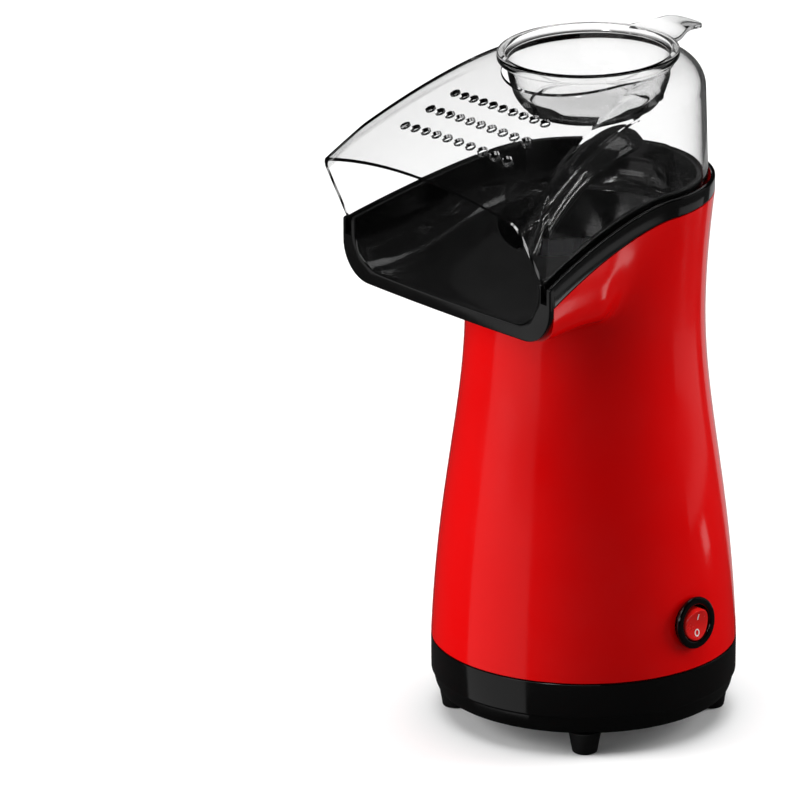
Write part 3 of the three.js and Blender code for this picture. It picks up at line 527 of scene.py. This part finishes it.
def groove():
    chamfer = 0.35

    def section(y):
        low, high = band_top(y) - GROOVE_DEPTH, band_top(y)
        walls = [(GROOVE_FROM, high - chamfer), (GROOVE_FROM, low), (GROOVE_TO, low)]
        walls += [(GROOVE_TO, high + 1 - chamfer), (GROOVE_TO + chamfer, high + 1)]
        above = [(GROOVE_TO + chamfer, high + 5), (GROOVE_FROM - chamfer, high + 5)]
        return walls + above + [(GROOVE_FROM - chamfer, high)]
    return horseshoe(section, MOUTH_Y - 2)


def keel_bottom(y):
    """Underside of the wall below the groove."""
    return band_top(y) - GROOVE_DEPTH - 1.8


def chute():
    inside = LIP_INSET + 0.8
    round_all = [0.4, 0, 0.4, EDGE]
    outer_band = horseshoe(band(0, inside, band_bottom, band_top, round_all), MOUTH_Y)
    lip_section = band(GROOVE_TO, inside, band_bottom, lambda y: band_top(y) + 1, [0, 0, EDGE, EDGE])
    lip = horseshoe(lip_section, MOUTH_Y)
    keel_section = band(GROOVE_FROM + 1.1, inside, keel_bottom, lambda y: band_top(y) - 1, [0] * 4)
    keel = horseshoe(keel_section, MOUTH_Y)
    bosses = [placed(rod(3.6, SHELF - 20, SHELF + 1), at(*polar(BOSS_CIRCLE, a))) for a in BOSSES]
    pilots = [placed(rod(1.6, SHELF - 22, SHELF - 7), at(*polar(BOSS_CIRCLE, a))) for a in BOSSES]
    pan = common(join(trough(WALL, MOUTH_Y, 238), bowl(WALL, 240)), below_band())
    body = join(pan, outer_band, lip, keel, mouth_frame(), *bosses)
    return cut(body, trough(0, MOUTH_Y - 5, 270, 1.0), bowl(0, 270), groove(), guard_hole(), *pilots)


# ---- Kernel guard ----
GUARD_SPINE = [(-32.2, 213.5), (-15.5, 241), (-2, 254.6), (26.5, 256.2)]
THROAT_LEAN = math.atan2(THROAT_RADIUS - THROAT_FOOT_RADIUS, SHELF - THROAT_BOTTOM)
GUARD_FOOT_RADIUS = THROAT_FOOT_RADIUS + (GUARD_SCREW_HEIGHT - THROAT_BOTTOM) * math.tan(THROAT_LEAN)
THROAT_FRONT = at(0, RING_CENTRE - GUARD_FOOT_RADIUS, GUARD_SCREW_HEIGHT) @ turn("X", THROAT_LEAN)


def guard_half_width(t):
    rounding_from = 0.8
    rounding = max(0.0, (t - rounding_from) / (1.01 - rounding_from))
    return lerp(6, 13.5, smooth(t / rounding_from)) * math.sqrt(1 - rounding**3)


def guard_hole():
    return placed(rod(1.4, -6, 6), THROAT_FRONT @ turn("X", -math.pi / 2))


def kernel_guard():
    """A curved tongue that rises from the front of the throat and leans over it."""
    edge = GUARD_THICKNESS / 2
    around = steps(6, 0, math.pi)[1:-1]
    rings = []
    for t in steps(44):
        y, z = bezier(GUARD_SPINE, t)
        ahead = Vector(bezier(GUARD_SPINE, min(1, t + 0.01))) - Vector(bezier(GUARD_SPINE, max(0, t - 0.01)))
        ahead.normalize()
        half = guard_half_width(t)
        camber = 0.34 * half
        section = [(u * (half - edge), camber * (1 - u * u)) for u in steps(16, -1, 1)]
        section += [(half - edge + edge * math.sin(a), edge - edge * math.cos(a)) for a in around]
        section += [(-u * (half - edge), camber * (1 - u * u) + 2 * edge) for u in steps(16, -1, 1)]
        section += [(edge - half - edge * math.sin(a), edge + edge * math.cos(a)) for a in around]
        rings.append([(x, y - ahead.y * rise, z + ahead.x * rise) for x, rise in section])
    strip = placed(block(9, 2, 9, (0, 2 * GAP + 1, 0)), THROAT_FRONT)
    return cut(join(loft(rings), strip), guard_hole())


# ---- Clear cover ----
def hood_top(x, y):
    """Height of the hood's outside over a point of the plan."""
    forward = max(0.0, (-10 - y) / 89)
    crown = COVER_TOP + 0.035 * (y - RING_CENTRE) - 28 * forward**1.4
    return crown - lerp(0.0005, 0.0027, min(1, forward)) * x * x


def cover_skin(inset):
    """Rings of one side of the wall, from the groove up, over the shoulder and in to the hole for the cup."""
    centre = Vector((0, RING_CENTRE))
    foot_line = outline(COVER_INSET + inset, HOOD_FRONT, 120, 56, 40)
    arms = [(p - centre, (p - centre).length, p) for p in foot_line]

    def top(way):
        return hood_top(way.x, way.y) - inset

    def ring(place):
        points = []
        for arm, reach, p in arms:
            radius, height = place(reach, lerp(13, 8, towards_mouth(p.y) ** 0.5) - inset)
            way = centre + arm * (radius / reach)
            points.append((way.x, way.y, height(way, p)))
        return points

    def wall(level):
        def place(reach, r):
            springs = reach - COVER_DRAFT - r
            def height(_, p):
                over = centre + (p - centre) * (springs / reach)
                return lerp(band_top(p.y) - GROOVE_DEPTH + GAP, top(over) - r, level)
            return reach - COVER_DRAFT * level, height
        return place

    def shoulder(angle):
        def place(reach, r):
            drawn_in, lowered = r * (1 - math.cos(angle)), r * (1 - math.sin(angle))
            return reach - COVER_DRAFT - drawn_in, lambda way, _: top(way) - lowered
        return place

    def crown(level):
        def place(reach, r):
            return lerp(reach - COVER_DRAFT - r, HOLE_RADIUS, level), lambda way, _: top(way)
        return place

    rings = [ring(wall(level)) for level in steps(10)]
    rings += [ring(shoulder(angle)) for angle in steps(12, 0, math.pi / 2)[1:]]
    rings += [ring(crown(level)) for level in steps(20)[1:]]
    return rings


def vent_holes():
    holes = []
    for middle, pitch in VENT_ROWS:
        for i in range(VENTS_IN_ROW):
            x = (i - (VENTS_IN_ROW - 1) / 2) * pitch
            y = middle + 0.0015 * x * x
            slope = math.atan2(hood_top(x, y + 1) - hood_top(x, y - 1), 2)
            bank = math.atan2(hood_top(x + 1, y) - hood_top(x - 1, y), 2)
            stand = at(x, y, hood_top(x, y)) @ turn("X", slope) @ turn("Y", -bank)
            holes.append(placed(rod(VENT_RADIUS, -8, 6, 32), stand))
    return holes


def clear_cover():
    shell = loft(cover_skin(0) + cover_skin(COVER_WALL)[::-1], loop=True)
    lean, height = 0.487, 84
    rim = band_top(MOUTH_Y)
    edge = [(MOUTH_Y + 3.5, 210), (MOUTH_Y + 0.4, rim), (MOUTH_Y - lean * height, rim + height)]
    ahead = edge + [(-200, rim + height), (-200, 210)]
    cutter = loft([[(x, y, z) for y, z in ahead] for x in (-100, 100)])
    return cut(shell, cutter, *vent_holes())


# ---- Measuring cup ----
def cup_tab():
    """A flat paddle that leaves the rim level and turns down at its rounded end."""
    end = 60.8
    rounding = 8
    rings = []
    for t in steps(36):
        y = lerp(36.8, end, math.sin(t * math.pi / 2))
        tip = max(0.0, (y - end + rounding) / rounding)
        half = (10 + 5 * (1 - smooth(t / 0.4))) * math.sqrt(max(0.1, 1 - tip**3))
        z = 1.4 * smooth(t / 0.4) - 1.6 * smooth((t - 0.4) / 0.6)
        corners = [(-half, -0.9), (half, -0.9), (half, 1.1), (-half, 1.1)]
        rings.append([(x, y, z + h) for x, h in rounded(corners, [0.6] * 4)])
    return loft(rings)


def measuring_cup():
    outside = [(0, -27), (23, -27), (31.2, -22), (34.6, -10), (35.6, -2.2), (39.4, -2.2), (39.4, 1.5)]
    inside = [(36.2, 1.5), (35.0, -1), (32.6, -11), (29.2, -20.4), (22.4, -25), (0, -25)]
    radii = [0, 5, 6, 3, 0.4, 1.2, 0.9, 0.6, 1.0, 3, 6, 5, 0]
    cup = join(turned(rounded(outside + inside, radii, 8), 128), cup_tab())
    return placed(cup, at(0, RING_CENTRE, CUP_HEIGHT) @ turn("X", CUP_TILT))


# ---- Rocker switch, in its own frame: +Z points out of the body, +Y up it ----
SWITCH = at(*polar(BASE_RADIUS - SWITCH_INSET, 90 + BASE_TURN), SWITCH_HEIGHT)
SWITCH = SWITCH @ turn("Z", math.radians(90 + BASE_TURN)) @ turn("X", math.pi / 2 - SWITCH_LEAN)
ROCKER = SWITCH @ at(0, 0, ROCKER_PIVOT) @ turn("X", ROCKER_TILT) @ at(0, 0, -ROCKER_PIVOT)


def switch_housing():
    outside = [(0, -16), (9.8, -16), (9.8, 1.3), (FLANGE_RADIUS, 1.3), (FLANGE_RADIUS, 3.1)]
    inside = [(CAVITY_RADIUS, 3.1), (CAVITY_RADIUS, -10), (0, -10)]
    shell = turned(rounded(outside + inside, [0, 0.8, 0, 0.2, 1.1, 0.8, 0, 0], 8), 96)
    pin_hole = placed(rod(0.95, -12, 12), at(0, 0, ROCKER_PIVOT) @ turn("Y", math.pi / 2))
    return placed(cut(shell, pin_hole), SWITCH)


def rocker_face(y):
    """The rocker's hollow face: its height at y."""
    return 2.8 + 1.6 * (y / 7.4) ** 2


def switch_rocker():
    def ring(radius, height):
        around = [2 * math.pi * i / 72 for i in range(72)]
        return [(radius * math.cos(a), radius * math.sin(a), height(radius * math.sin(a))) for a in around]

    def under(y):
        return 3.4 * abs(y) / 7.4 - 6.6

    rings = [ring(radius, under) for radius in (0.05, 2.5, 5, ROCKER_RADIUS)]
    for angle in steps(5, 0, math.pi / 2):
        drawn_in = 0.7 * (1 - math.cos(angle))
        lowered = 0.7 * (1 - math.sin(angle))
        rings.append(ring(ROCKER_RADIUS - drawn_in, lambda y: rocker_face(y) - lowered))
    rings += [ring(radius, rocker_face) for radius in (5.4, 4.2, 3, 1.8, 0.9, 0.05)]
    bore = placed(rod(0.95, -12, 12), at(0, 0, ROCKER_PIVOT) @ turn("Y", math.pi / 2))
    return placed(cut(loft(rings), bore), ROCKER)


def rocker_mark(inner, outer):
    """A printed mark on the rocker's face between two closed outlines of (x, y) points."""
    low, high = -0.15, 0.05
    rings = [
        [(x, y, rocker_face(y) + low) for x, y in outer],
        [(x, y, rocker_face(y) + high) for x, y in outer],
        [(x, y, rocker_face(y) + high) for x, y in inner],
        [(x, y, rocker_face(y) + low) for x, y in inner],
    ]
    return placed(loft(rings, loop=True), ROCKER)


def on_mark():
    bar = [(-0.3, 2.2), (0.3, 2.2), (0.3, 5.1), (-0.3, 5.1)]
    middle = [(x * 0.05, 3.65 + (y - 3.65) * 0.9) for x, y in bar]
    return rocker_mark(middle, bar)


def off_mark():
    def oval(a, b):
        around = [2 * math.pi * i / 40 for i in range(40)]
        return [(a * math.cos(t), -3.7 + b * math.sin(t)) for t in around]
    return rocker_mark(oval(0.95, 1.15), oval(1.45, 1.65))


# ---- Materials ----
class Paint:
    """Builds one material's node tree around a Principled shader."""

    def __init__(self, name, colour, roughness, **numbers):
        self.material = bpy.data.materials.new(name)
        self.material.use_nodes = True
        self.tree = self.material.node_tree
        self.shader = self.tree.nodes["Principled BSDF"]
        self.shader.inputs["Base Color"].default_value = (*colour, 1)
        self.shader.inputs["Roughness"].default_value = roughness
        for socket, value in numbers.items():
            self.shader.inputs[socket.replace("_", " ")].default_value = value
        self.where = self.node("ShaderNodeTexCoord").outputs["Object"]
        self.height = None

    def node(self, kind, **inputs):
        made = self.tree.nodes.new(kind)
        for socket, value in inputs.items():
            self.feed(made.inputs[socket.replace("_", " ")], value)
        return made

    def feed(self, socket, value):
        if isinstance(value, bpy.types.NodeSocket):
            self.tree.links.new(value, socket)
        else:
            socket.default_value = value

    def noise(self, size, detail=2.0, stretch=(1, 1, 1)):
        """Noise whose features are about size millimetres across."""
        scaled = self.node("ShaderNodeMapping", Vector=self.where, Scale=stretch)
        made = self.node("ShaderNodeTexNoise", Vector=scaled.outputs[0], Scale=1000 / size, Detail=detail)
        return made.outputs["Fac"]

    def spread(self, value, low, high, start=0.3, end=0.7):
        """value between start and end, taken to low to high."""
        made = self.node("ShaderNodeMapRange", Value=value)
        made.inputs["From Min"].default_value = start
        made.inputs["From Max"].default_value = end
        made.inputs["To Min"].default_value = low
        made.inputs["To Max"].default_value = high
        return made.outputs["Result"]

    def maths(self, operation, first, second):
        made = self.node("ShaderNodeMath")
        made.operation = operation
        self.feed(made.inputs[0], first)
        self.feed(made.inputs[1], second)
        return made.outputs[0]

    def colours(self, value, first, second):
        mix = self.node("ShaderNodeMix")
        mix.data_type = "RGBA"
        self.feed(mix.inputs["Factor"], value)
        self.feed(mix.inputs[6], (*first, 1))
        self.feed(mix.inputs[7], (*second, 1))
        self.feed(self.shader.inputs["Base Color"], mix.outputs[2])

    def rough(self, value, low, high):
        self.feed(self.shader.inputs["Roughness"], self.spread(value, low, high))

    def bump(self, value, depth, strength=1.0):
        """Raises the surface by up to depth millimetres."""
        made = self.node("ShaderNodeBump", Height=value, Distance=depth / 1000, Strength=strength)
        if self.height:
            self.feed(made.inputs["Normal"], self.height)
        self.height = made.outputs["Normal"]
        self.feed(self.shader.inputs["Normal"], self.height)


def red_gloss():
    """Injection-moulded gloss: faint orange peel, flow marks and smudges."""
    paint = Paint("red_gloss", (0.75, 0.001, 0.001), 0.2, Coat_Weight=0.15, Coat_Roughness=0.06, IOR=1.42)
    paint.colours(paint.noise(60, 3), (0.72, 0.0005, 0.001), (0.79, 0.0015, 0.002))
    paint.rough(paint.noise(22, 5), 0.09, 0.17)
    paint.bump(paint.noise(2.2, 2), 0.012)
    paint.bump(paint.noise(45, 2, (1, 1, 0.3)), 0.05)
    return paint.material


def black_gloss():
    paint = Paint("black_gloss", (0.002, 0.002, 0.002), 0.2, Coat_Weight=0.3, Coat_Roughness=0.08, IOR=1.5)
    paint.colours(paint.noise(30, 4), (0.0012, 0.0012, 0.0012), (0.003, 0.003, 0.003))
    paint.rough(paint.noise(14, 6), 0.07, 0.15)
    paint.bump(paint.noise(1.2, 3), 0.012)
    return paint.material


def black_rubber():
    paint = Paint("black_rubber", (0.01, 0.01, 0.01), 0.6, IOR=1.45)
    paint.colours(paint.noise(6, 5), (0.004, 0.004, 0.004), (0.01, 0.01, 0.01))
    paint.rough(paint.noise(5, 6), 0.42, 0.7)
    paint.bump(paint.noise(0.5, 3), 0.03)
    return paint.material


def clear_plastic():
    """Clear moulded plastic that lets the lamps through to what it covers."""
    paint = Paint("clear_plastic", (0.9, 0.9, 0.9), 0.02, Transmission_Weight=1.0, IOR=1.27, Coat_Weight=0.1)
    paint.rough(paint.noise(25, 5), 0.0, 0.03)
    paint.bump(paint.noise(38, 2), 0.01)
    output = paint.tree.nodes["Material Output"]
    path = paint.node("ShaderNodeLightPath")
    through = paint.node("ShaderNodeBsdfTransparent", Color=(0.93, 0.94, 0.94, 1))
    mix = paint.node("ShaderNodeMixShader", Fac=path.outputs["Is Shadow Ray"])
    paint.tree.links.new(paint.shader.outputs[0], mix.inputs[1])
    paint.tree.links.new(through.outputs[0], mix.inputs[2])
    paint.tree.links.new(mix.outputs[0], output.inputs["Surface"])
    return paint.material


def rocker_red():
    paint = Paint("rocker_red", (0.75, 0.01, 0.008), 0.2, Coat_Weight=0.3, Coat_Roughness=0.08)
    paint.colours(paint.noise(9, 3), (0.7, 0.008, 0.008), (0.82, 0.014, 0.01))
    paint.rough(paint.noise(5, 5), 0.16, 0.3)
    paint.bump(paint.noise(0.8, 2), 0.008)
    return paint.material


def white_print():
    paint = Paint("white_print", (0.86, 0.85, 0.83), 0.5)
    paint.colours(paint.noise(0.8, 3), (0.78, 0.77, 0.75), (0.92, 0.91, 0.9))
    paint.rough(paint.noise(0.6, 3), 0.4, 0.6)
    paint.bump(paint.noise(0.25, 2), 0.01)
    return paint.material


def black_moulding():
    paint = Paint("black_moulding", (0.02, 0.02, 0.02), 0.55)
    paint.colours(paint.noise(8, 4), (0.014, 0.014, 0.015), (0.03, 0.03, 0.03))
    paint.rough(paint.noise(4, 4), 0.45, 0.68)
    paint.bump(paint.noise(0.7, 3), 0.03)
    return paint.material


def metal(name, light, dark, low, high, streak):
    """Bare metal with drawing marks along streak, and a dull bloom."""
    paint = Paint(name, light, low, Metallic=1.0)
    paint.colours(paint.noise(18, 5), dark, light)
    paint.rough(paint.noise(3, 6, streak), low, high)
    paint.bump(paint.noise(0.8, 4, streak), 0.01)
    return paint.material


def mica():
    paint = Paint("mica", (0.45, 0.33, 0.18), 0.5)
    paint.colours(paint.noise(4, 6, (1, 1, 0.4)), (0.32, 0.22, 0.11), (0.6, 0.47, 0.28))
    paint.rough(paint.noise(2, 5), 0.3, 0.6)
    paint.bump(paint.noise(1.5, 5), 0.04)
    return paint.material


def ceramic():
    paint = Paint("ceramic", (0.78, 0.75, 0.68), 0.7)
    paint.colours(paint.noise(5, 5), (0.7, 0.66, 0.58), (0.84, 0.82, 0.76))
    paint.rough(paint.noise(2, 5), 0.6, 0.85)
    paint.bump(paint.noise(0.5, 4), 0.03)
    return paint.material


def circuit_board():
    paint = Paint("circuit_board", (0.02, 0.16, 0.05), 0.35)
    paint.colours(paint.noise(1.6, 1, (1, 0.2, 1)), (0.012, 0.1, 0.03), (0.04, 0.22, 0.07))
    paint.rough(paint.noise(1, 3), 0.25, 0.45)
    paint.bump(paint.noise(1.2, 1, (1, 0.2, 1)), 0.03)
    return paint.material


def lead_sleeve():
    paint = Paint("lead_sleeve", (0.75, 0.75, 0.7), 0.8)
    paint.colours(paint.noise(0.6, 2), (0.6, 0.6, 0.56), (0.84, 0.84, 0.8))
    paint.rough(paint.noise(1, 3), 0.7, 0.9)
    paint.bump(paint.noise(0.4, 2), 0.06)
    return paint.material


def all_materials():
    return {
        "red_gloss": red_gloss(),
        "black_gloss": black_gloss(),
        "black_rubber": black_rubber(),
        "clear_plastic": clear_plastic(),
        "rocker_red": rocker_red(),
        "white_print": white_print(),
        "black_moulding": black_moulding(),
        "bright_metal": metal("bright_metal", (0.78, 0.79, 0.8), (0.6, 0.6, 0.62), 0.22, 0.42, (1, 1, 0.06)),
        "plated_steel": metal("plated_steel", (0.62, 0.63, 0.64), (0.42, 0.43, 0.45), 0.3, 0.5, (1, 1, 0.2)),
        "brass_blade": metal("brass_blade", (0.75, 0.55, 0.25), (0.5, 0.35, 0.14), 0.25, 0.45, (1, 0.1, 1)),
        "mica": mica(),
        "ceramic": ceramic(),
        "circuit_board": circuit_board(),
        "lead_sleeve": lead_sleeve(),
    }


# ---- Pieces ----
def make_pieces(finish):
    def piece(make, name, body, slot, nodes=None, material=None):
        return show(make(), name, body, finish[material or slot], [name] if nodes is None else nodes)

    piece(base_cover, "base_cover", "housing", "black_gloss")
    for i, azimuth in enumerate(FEET):
        made = placed(foot(), at(*polar(FOOT_CIRCLE, azimuth)))
        name = f"foot_{i + 1}"
        show(made, "rubber_" + name, "housing", finish["black_rubber"], [name])
    piece(cord_gland, "gland", "housing", "black_rubber", ["cord_gland"])
    piece(body_shell, "red_body", "housing", "red_gloss", ["body_shell"])
    piece(chute, "spout", "housing", "black_gloss", ["chute"])
    piece(kernel_guard, "guard", "housing", "black_gloss", ["kernel_guard"])
    piece(clear_cover, "hood", "cover", "clear_plastic", ["clear_cover"])
    piece(measuring_cup, "cup", "cup", "clear_plastic", ["measuring_cup"])
    piece(switch_housing, "switch_bezel", "housing", "black_gloss", ["switch_housing"])
    piece(switch_rocker, "rocker", "rocker", "rocker_red", ["switch_rocker"])
    piece(on_mark, "mark_on", "rocker", "rocker_red", [], "white_print")
    piece(off_mark, "mark_off", "rocker", "rocker_red", [], "white_print")


def finish_inner_nodes(finish):
    """Gives every CAD node that still shows the procedural material of its slot."""
    for entry in frame["record"]["subparts"]:
        node = frame["nodes"][entry["node"]]
        node.data.materials.clear()
        node.data.materials.append(finish[entry["material_slot"]])


# ---- Studio ----
FLOOR_SIZE = 12  # metres
FLOOR_BOUNCE = 0.22  # share of the floor's white that lights the object
AMBIENT = 0.2
MIRRORED_ONCE = 0.06  # the world's strength after one mirroring, as in the black plastic under the hood
TRAPPED = 0.5  # and after several, as in the clear plastic's edges
TRAPPED_FLOOR = 0.4


def pale_floor():
    """Nearly white to look at. What it throws back on the object is held down, to keep dark gloss dark."""
    paint = Paint("floor", (0.9, 0.9, 0.9), 0.9)
    path = paint.node("ShaderNodeLightPath")
    bounces = paint.maths("ADD", path.outputs["Diffuse Depth"], path.outputs["Glossy Depth"])
    direct = paint.maths("LESS_THAN", bounces, 0.5)
    bounced = paint.maths("MULTIPLY", path.outputs["Is Diffuse Ray"], FLOOR_BOUNCE)
    several = paint.maths("GREATER_THAN", path.outputs["Glossy Depth"], 1.5)
    trapped = paint.maths("MULTIPLY", path.outputs["Is Transmission Ray"], several)
    held = paint.maths("MAXIMUM", bounced, paint.maths("MULTIPLY", trapped, TRAPPED_FLOOR))
    seen = paint.maths("MAXIMUM", direct, held)
    paint.colours(seen, (0.015, 0.015, 0.015), (0.95, 0.95, 0.95))
    half = FLOOR_SIZE / 2
    add_card("floor", [(-half, -half, 0), (half, -half, 0), (half, half, 0), (-half, half, 0)], paint)


def add_card(name, corners, paint):
    """One flat face of the studio."""
    mesh = bpy.data.meshes.new(name)
    mesh.from_pydata(corners, [], [tuple(range(len(corners)))])
    mesh.materials.append(paint.material)
    made = bpy.data.objects.new(name, mesh)
    SCENE.collection.objects.link(made)
    return made


def floor_card(name, near, far, radiance):
    """A glowing card on the floor, a light that only the gloss sees: it shows as highlights in the gloss.

    It lies between two arcs about the body's axis, each given as (radius, first bearing, last bearing).
    """
    points = [polar(near[0], azimuth) for azimuth in steps(12, *near[1:])]
    points += [polar(far[0], azimuth) for azimuth in reversed(steps(12, *far[1:]))]
    paint = Paint(name, (0, 0, 0), 1, Emission_Color=(1, 1, 1, 1), Emission_Strength=radiance)
    made = add_card(name, [(AXIS.x + x, AXIS.y + y, 0.001) for x, y in points], paint)
    for ray in ("camera", "diffuse", "transmission", "shadow"):
        setattr(made, "visible_" + ray, False)


def lamp(name, kind, power, mirrored):
    """One that isn't mirrored lights the object without showing in its gloss."""
    data = bpy.data.lights.new(name, kind)
    data.energy = power
    made = bpy.data.objects.new(name, data)
    made.visible_glossy = mirrored
    made.visible_transmission = mirrored
    SCENE.collection.objects.link(made)
    return made


def softbox(name, azimuth, elevation, width, height, radiance, mirrored=True, lights=True):
    """A rectangular lamp at a bearing round the object, turned to it."""
    distance = 1.6
    aim = Vector((0, 0, 0.15))
    made = lamp(name, "AREA", radiance * math.pi * width * height, mirrored)
    made.data.shape = "RECTANGLE"
    made.data.size = width
    made.data.size_y = height
    x, y = polar(distance * math.cos(math.radians(elevation)), azimuth)
    made.location = (x, y, aim.z + distance * math.sin(math.radians(elevation)))
    made.rotation_euler = (aim - made.location).to_track_quat("-Z", "Y").to_euler()
    made.visible_diffuse = lights


def world():
    """White to look at, dim as a light, and dimmer still in the gloss below the hood."""
    made = bpy.data.worlds.new("studio")
    made.use_nodes = True
    made.cycles_visibility.glossy = False
    tree = made.node_tree
    path = tree.nodes.new("ShaderNodeLightPath")
    tenths = tree.nodes.new("ShaderNodeMath")
    tenths.operation = "MULTIPLY"
    tenths.inputs[1].default_value = 0.1
    seen = tree.nodes.new("ShaderNodeValToRGB")
    seen.color_ramp.interpolation = "CONSTANT"
    seen.color_ramp.elements[0].color = (1, 1, 1, 1)
    seen.color_ramp.elements[1].position = 0.05
    seen.color_ramp.elements[1].color = (MIRRORED_ONCE, MIRRORED_ONCE, MIRRORED_ONCE, 1)
    seen.color_ramp.elements.new(0.15).color = (TRAPPED, TRAPPED, TRAPPED, 1)
    strength = tree.nodes.new("ShaderNodeMix")
    strength.inputs[2].default_value = AMBIENT
    background = tree.nodes["Background"]
    background.inputs["Color"].default_value = (1, 1, 1, 1)
    tree.links.new(path.outputs["Glossy Depth"], tenths.inputs[0])
    tree.links.new(tenths.outputs[0], seen.inputs[0])
    tree.links.new(path.outputs["Is Transmission Ray"], strength.inputs[0])
    tree.links.new(seen.outputs[0], strength.inputs[3])
    tree.links.new(strength.outputs[0], background.inputs["Strength"])
    SCENE.world = made


def studio():
    SCENE.view_settings.view_transform = "Standard"
    world()
    softbox("key", -34, 10, 1.0, 1.6, 6.8, mirrored=False)
    softbox("fill", 152, 10, 0.9, 1.6, 5.6, mirrored=False)
    softbox("left_box", -22, 6, 1.7, 1.8, 0.4)
    softbox("right_box", 160, 6, 1.0, 1.8, 0.12)
    softbox("top_box", 200, 70, 0.6, 0.6, 1.5)
    softbox("front_box", 24, 18, 2.3, 0.34, 1.5, lights=False)
    softbox("edge_strip", 17, 49, 0.12, 0.9, 10.0, lights=False)
    overhead = lamp("overhead", "SUN", 2.6, mirrored=False)
    overhead.data.angle = math.radians(50)
    pale_floor()
    # Glowing cards that only the gloss sees: they give the light band on the body's left, the light on the
    # black band, the highlight on the flare and the light right edge.
    floor_card("front_card", (0.08, -11, 22), (1.26, -46, 7), 0.34)
    floor_card("side_card", (0.6, 138, 176), (0.8, 138, 176), 0.28)
    floor_card("flare_card", (0.4, 152, 159), (0.52, 149, 156), 1.2)
    floor_card("rim_card", (0.14, 190, 228), (0.9, 190, 228), 0.4)


# ---- Camera ----
VIEW_AZIMUTH = 48.5
VIEW_ELEVATION = 18.7
VIEW_DISTANCE = 3.5
VIEW_LENS = 362.25
VIEW_ROLL = math.radians(-0.15)
VIEW_MIDDLE = 0.150  # height on the body's axis that the camera's bearing is taken from
FRAME_RIGHT = 0.0803  # how far right of the picture's middle that point lies, in metres
FRAME_UP = 0.00816


def camera():
    data = bpy.data.cameras.new("camera")
    data.lens = VIEW_LENS
    data.sensor_width = 36
    made = bpy.data.objects.new("camera", data)
    SCENE.collection.objects.link(made)
    x, y = polar(math.cos(math.radians(VIEW_ELEVATION)), VIEW_AZIMUTH)
    back = Vector((x, y, math.sin(math.radians(VIEW_ELEVATION))))
    middle = Vector((AXIS.x, AXIS.y, VIEW_MIDDLE))
    made.location = middle + back * VIEW_DISTANCE
    level = (-back).to_track_quat("-Z", "Y")
    right, up = level @ Vector((1, 0, 0)), level @ Vector((0, 1, 0))
    aim = middle - right * FRAME_RIGHT - up * FRAME_UP
    look = (aim - made.location).to_track_quat("-Z", "Y")
    made.rotation_mode = "QUATERNION"
    made.rotation_quaternion = look @ Matrix.Rotation(VIEW_ROLL, 3, "Z").to_quaternion()
    SCENE.camera = made


camera()
studio()
finishes = all_materials()
make_pieces(finishes)
finish_inner_nodes(finishes)
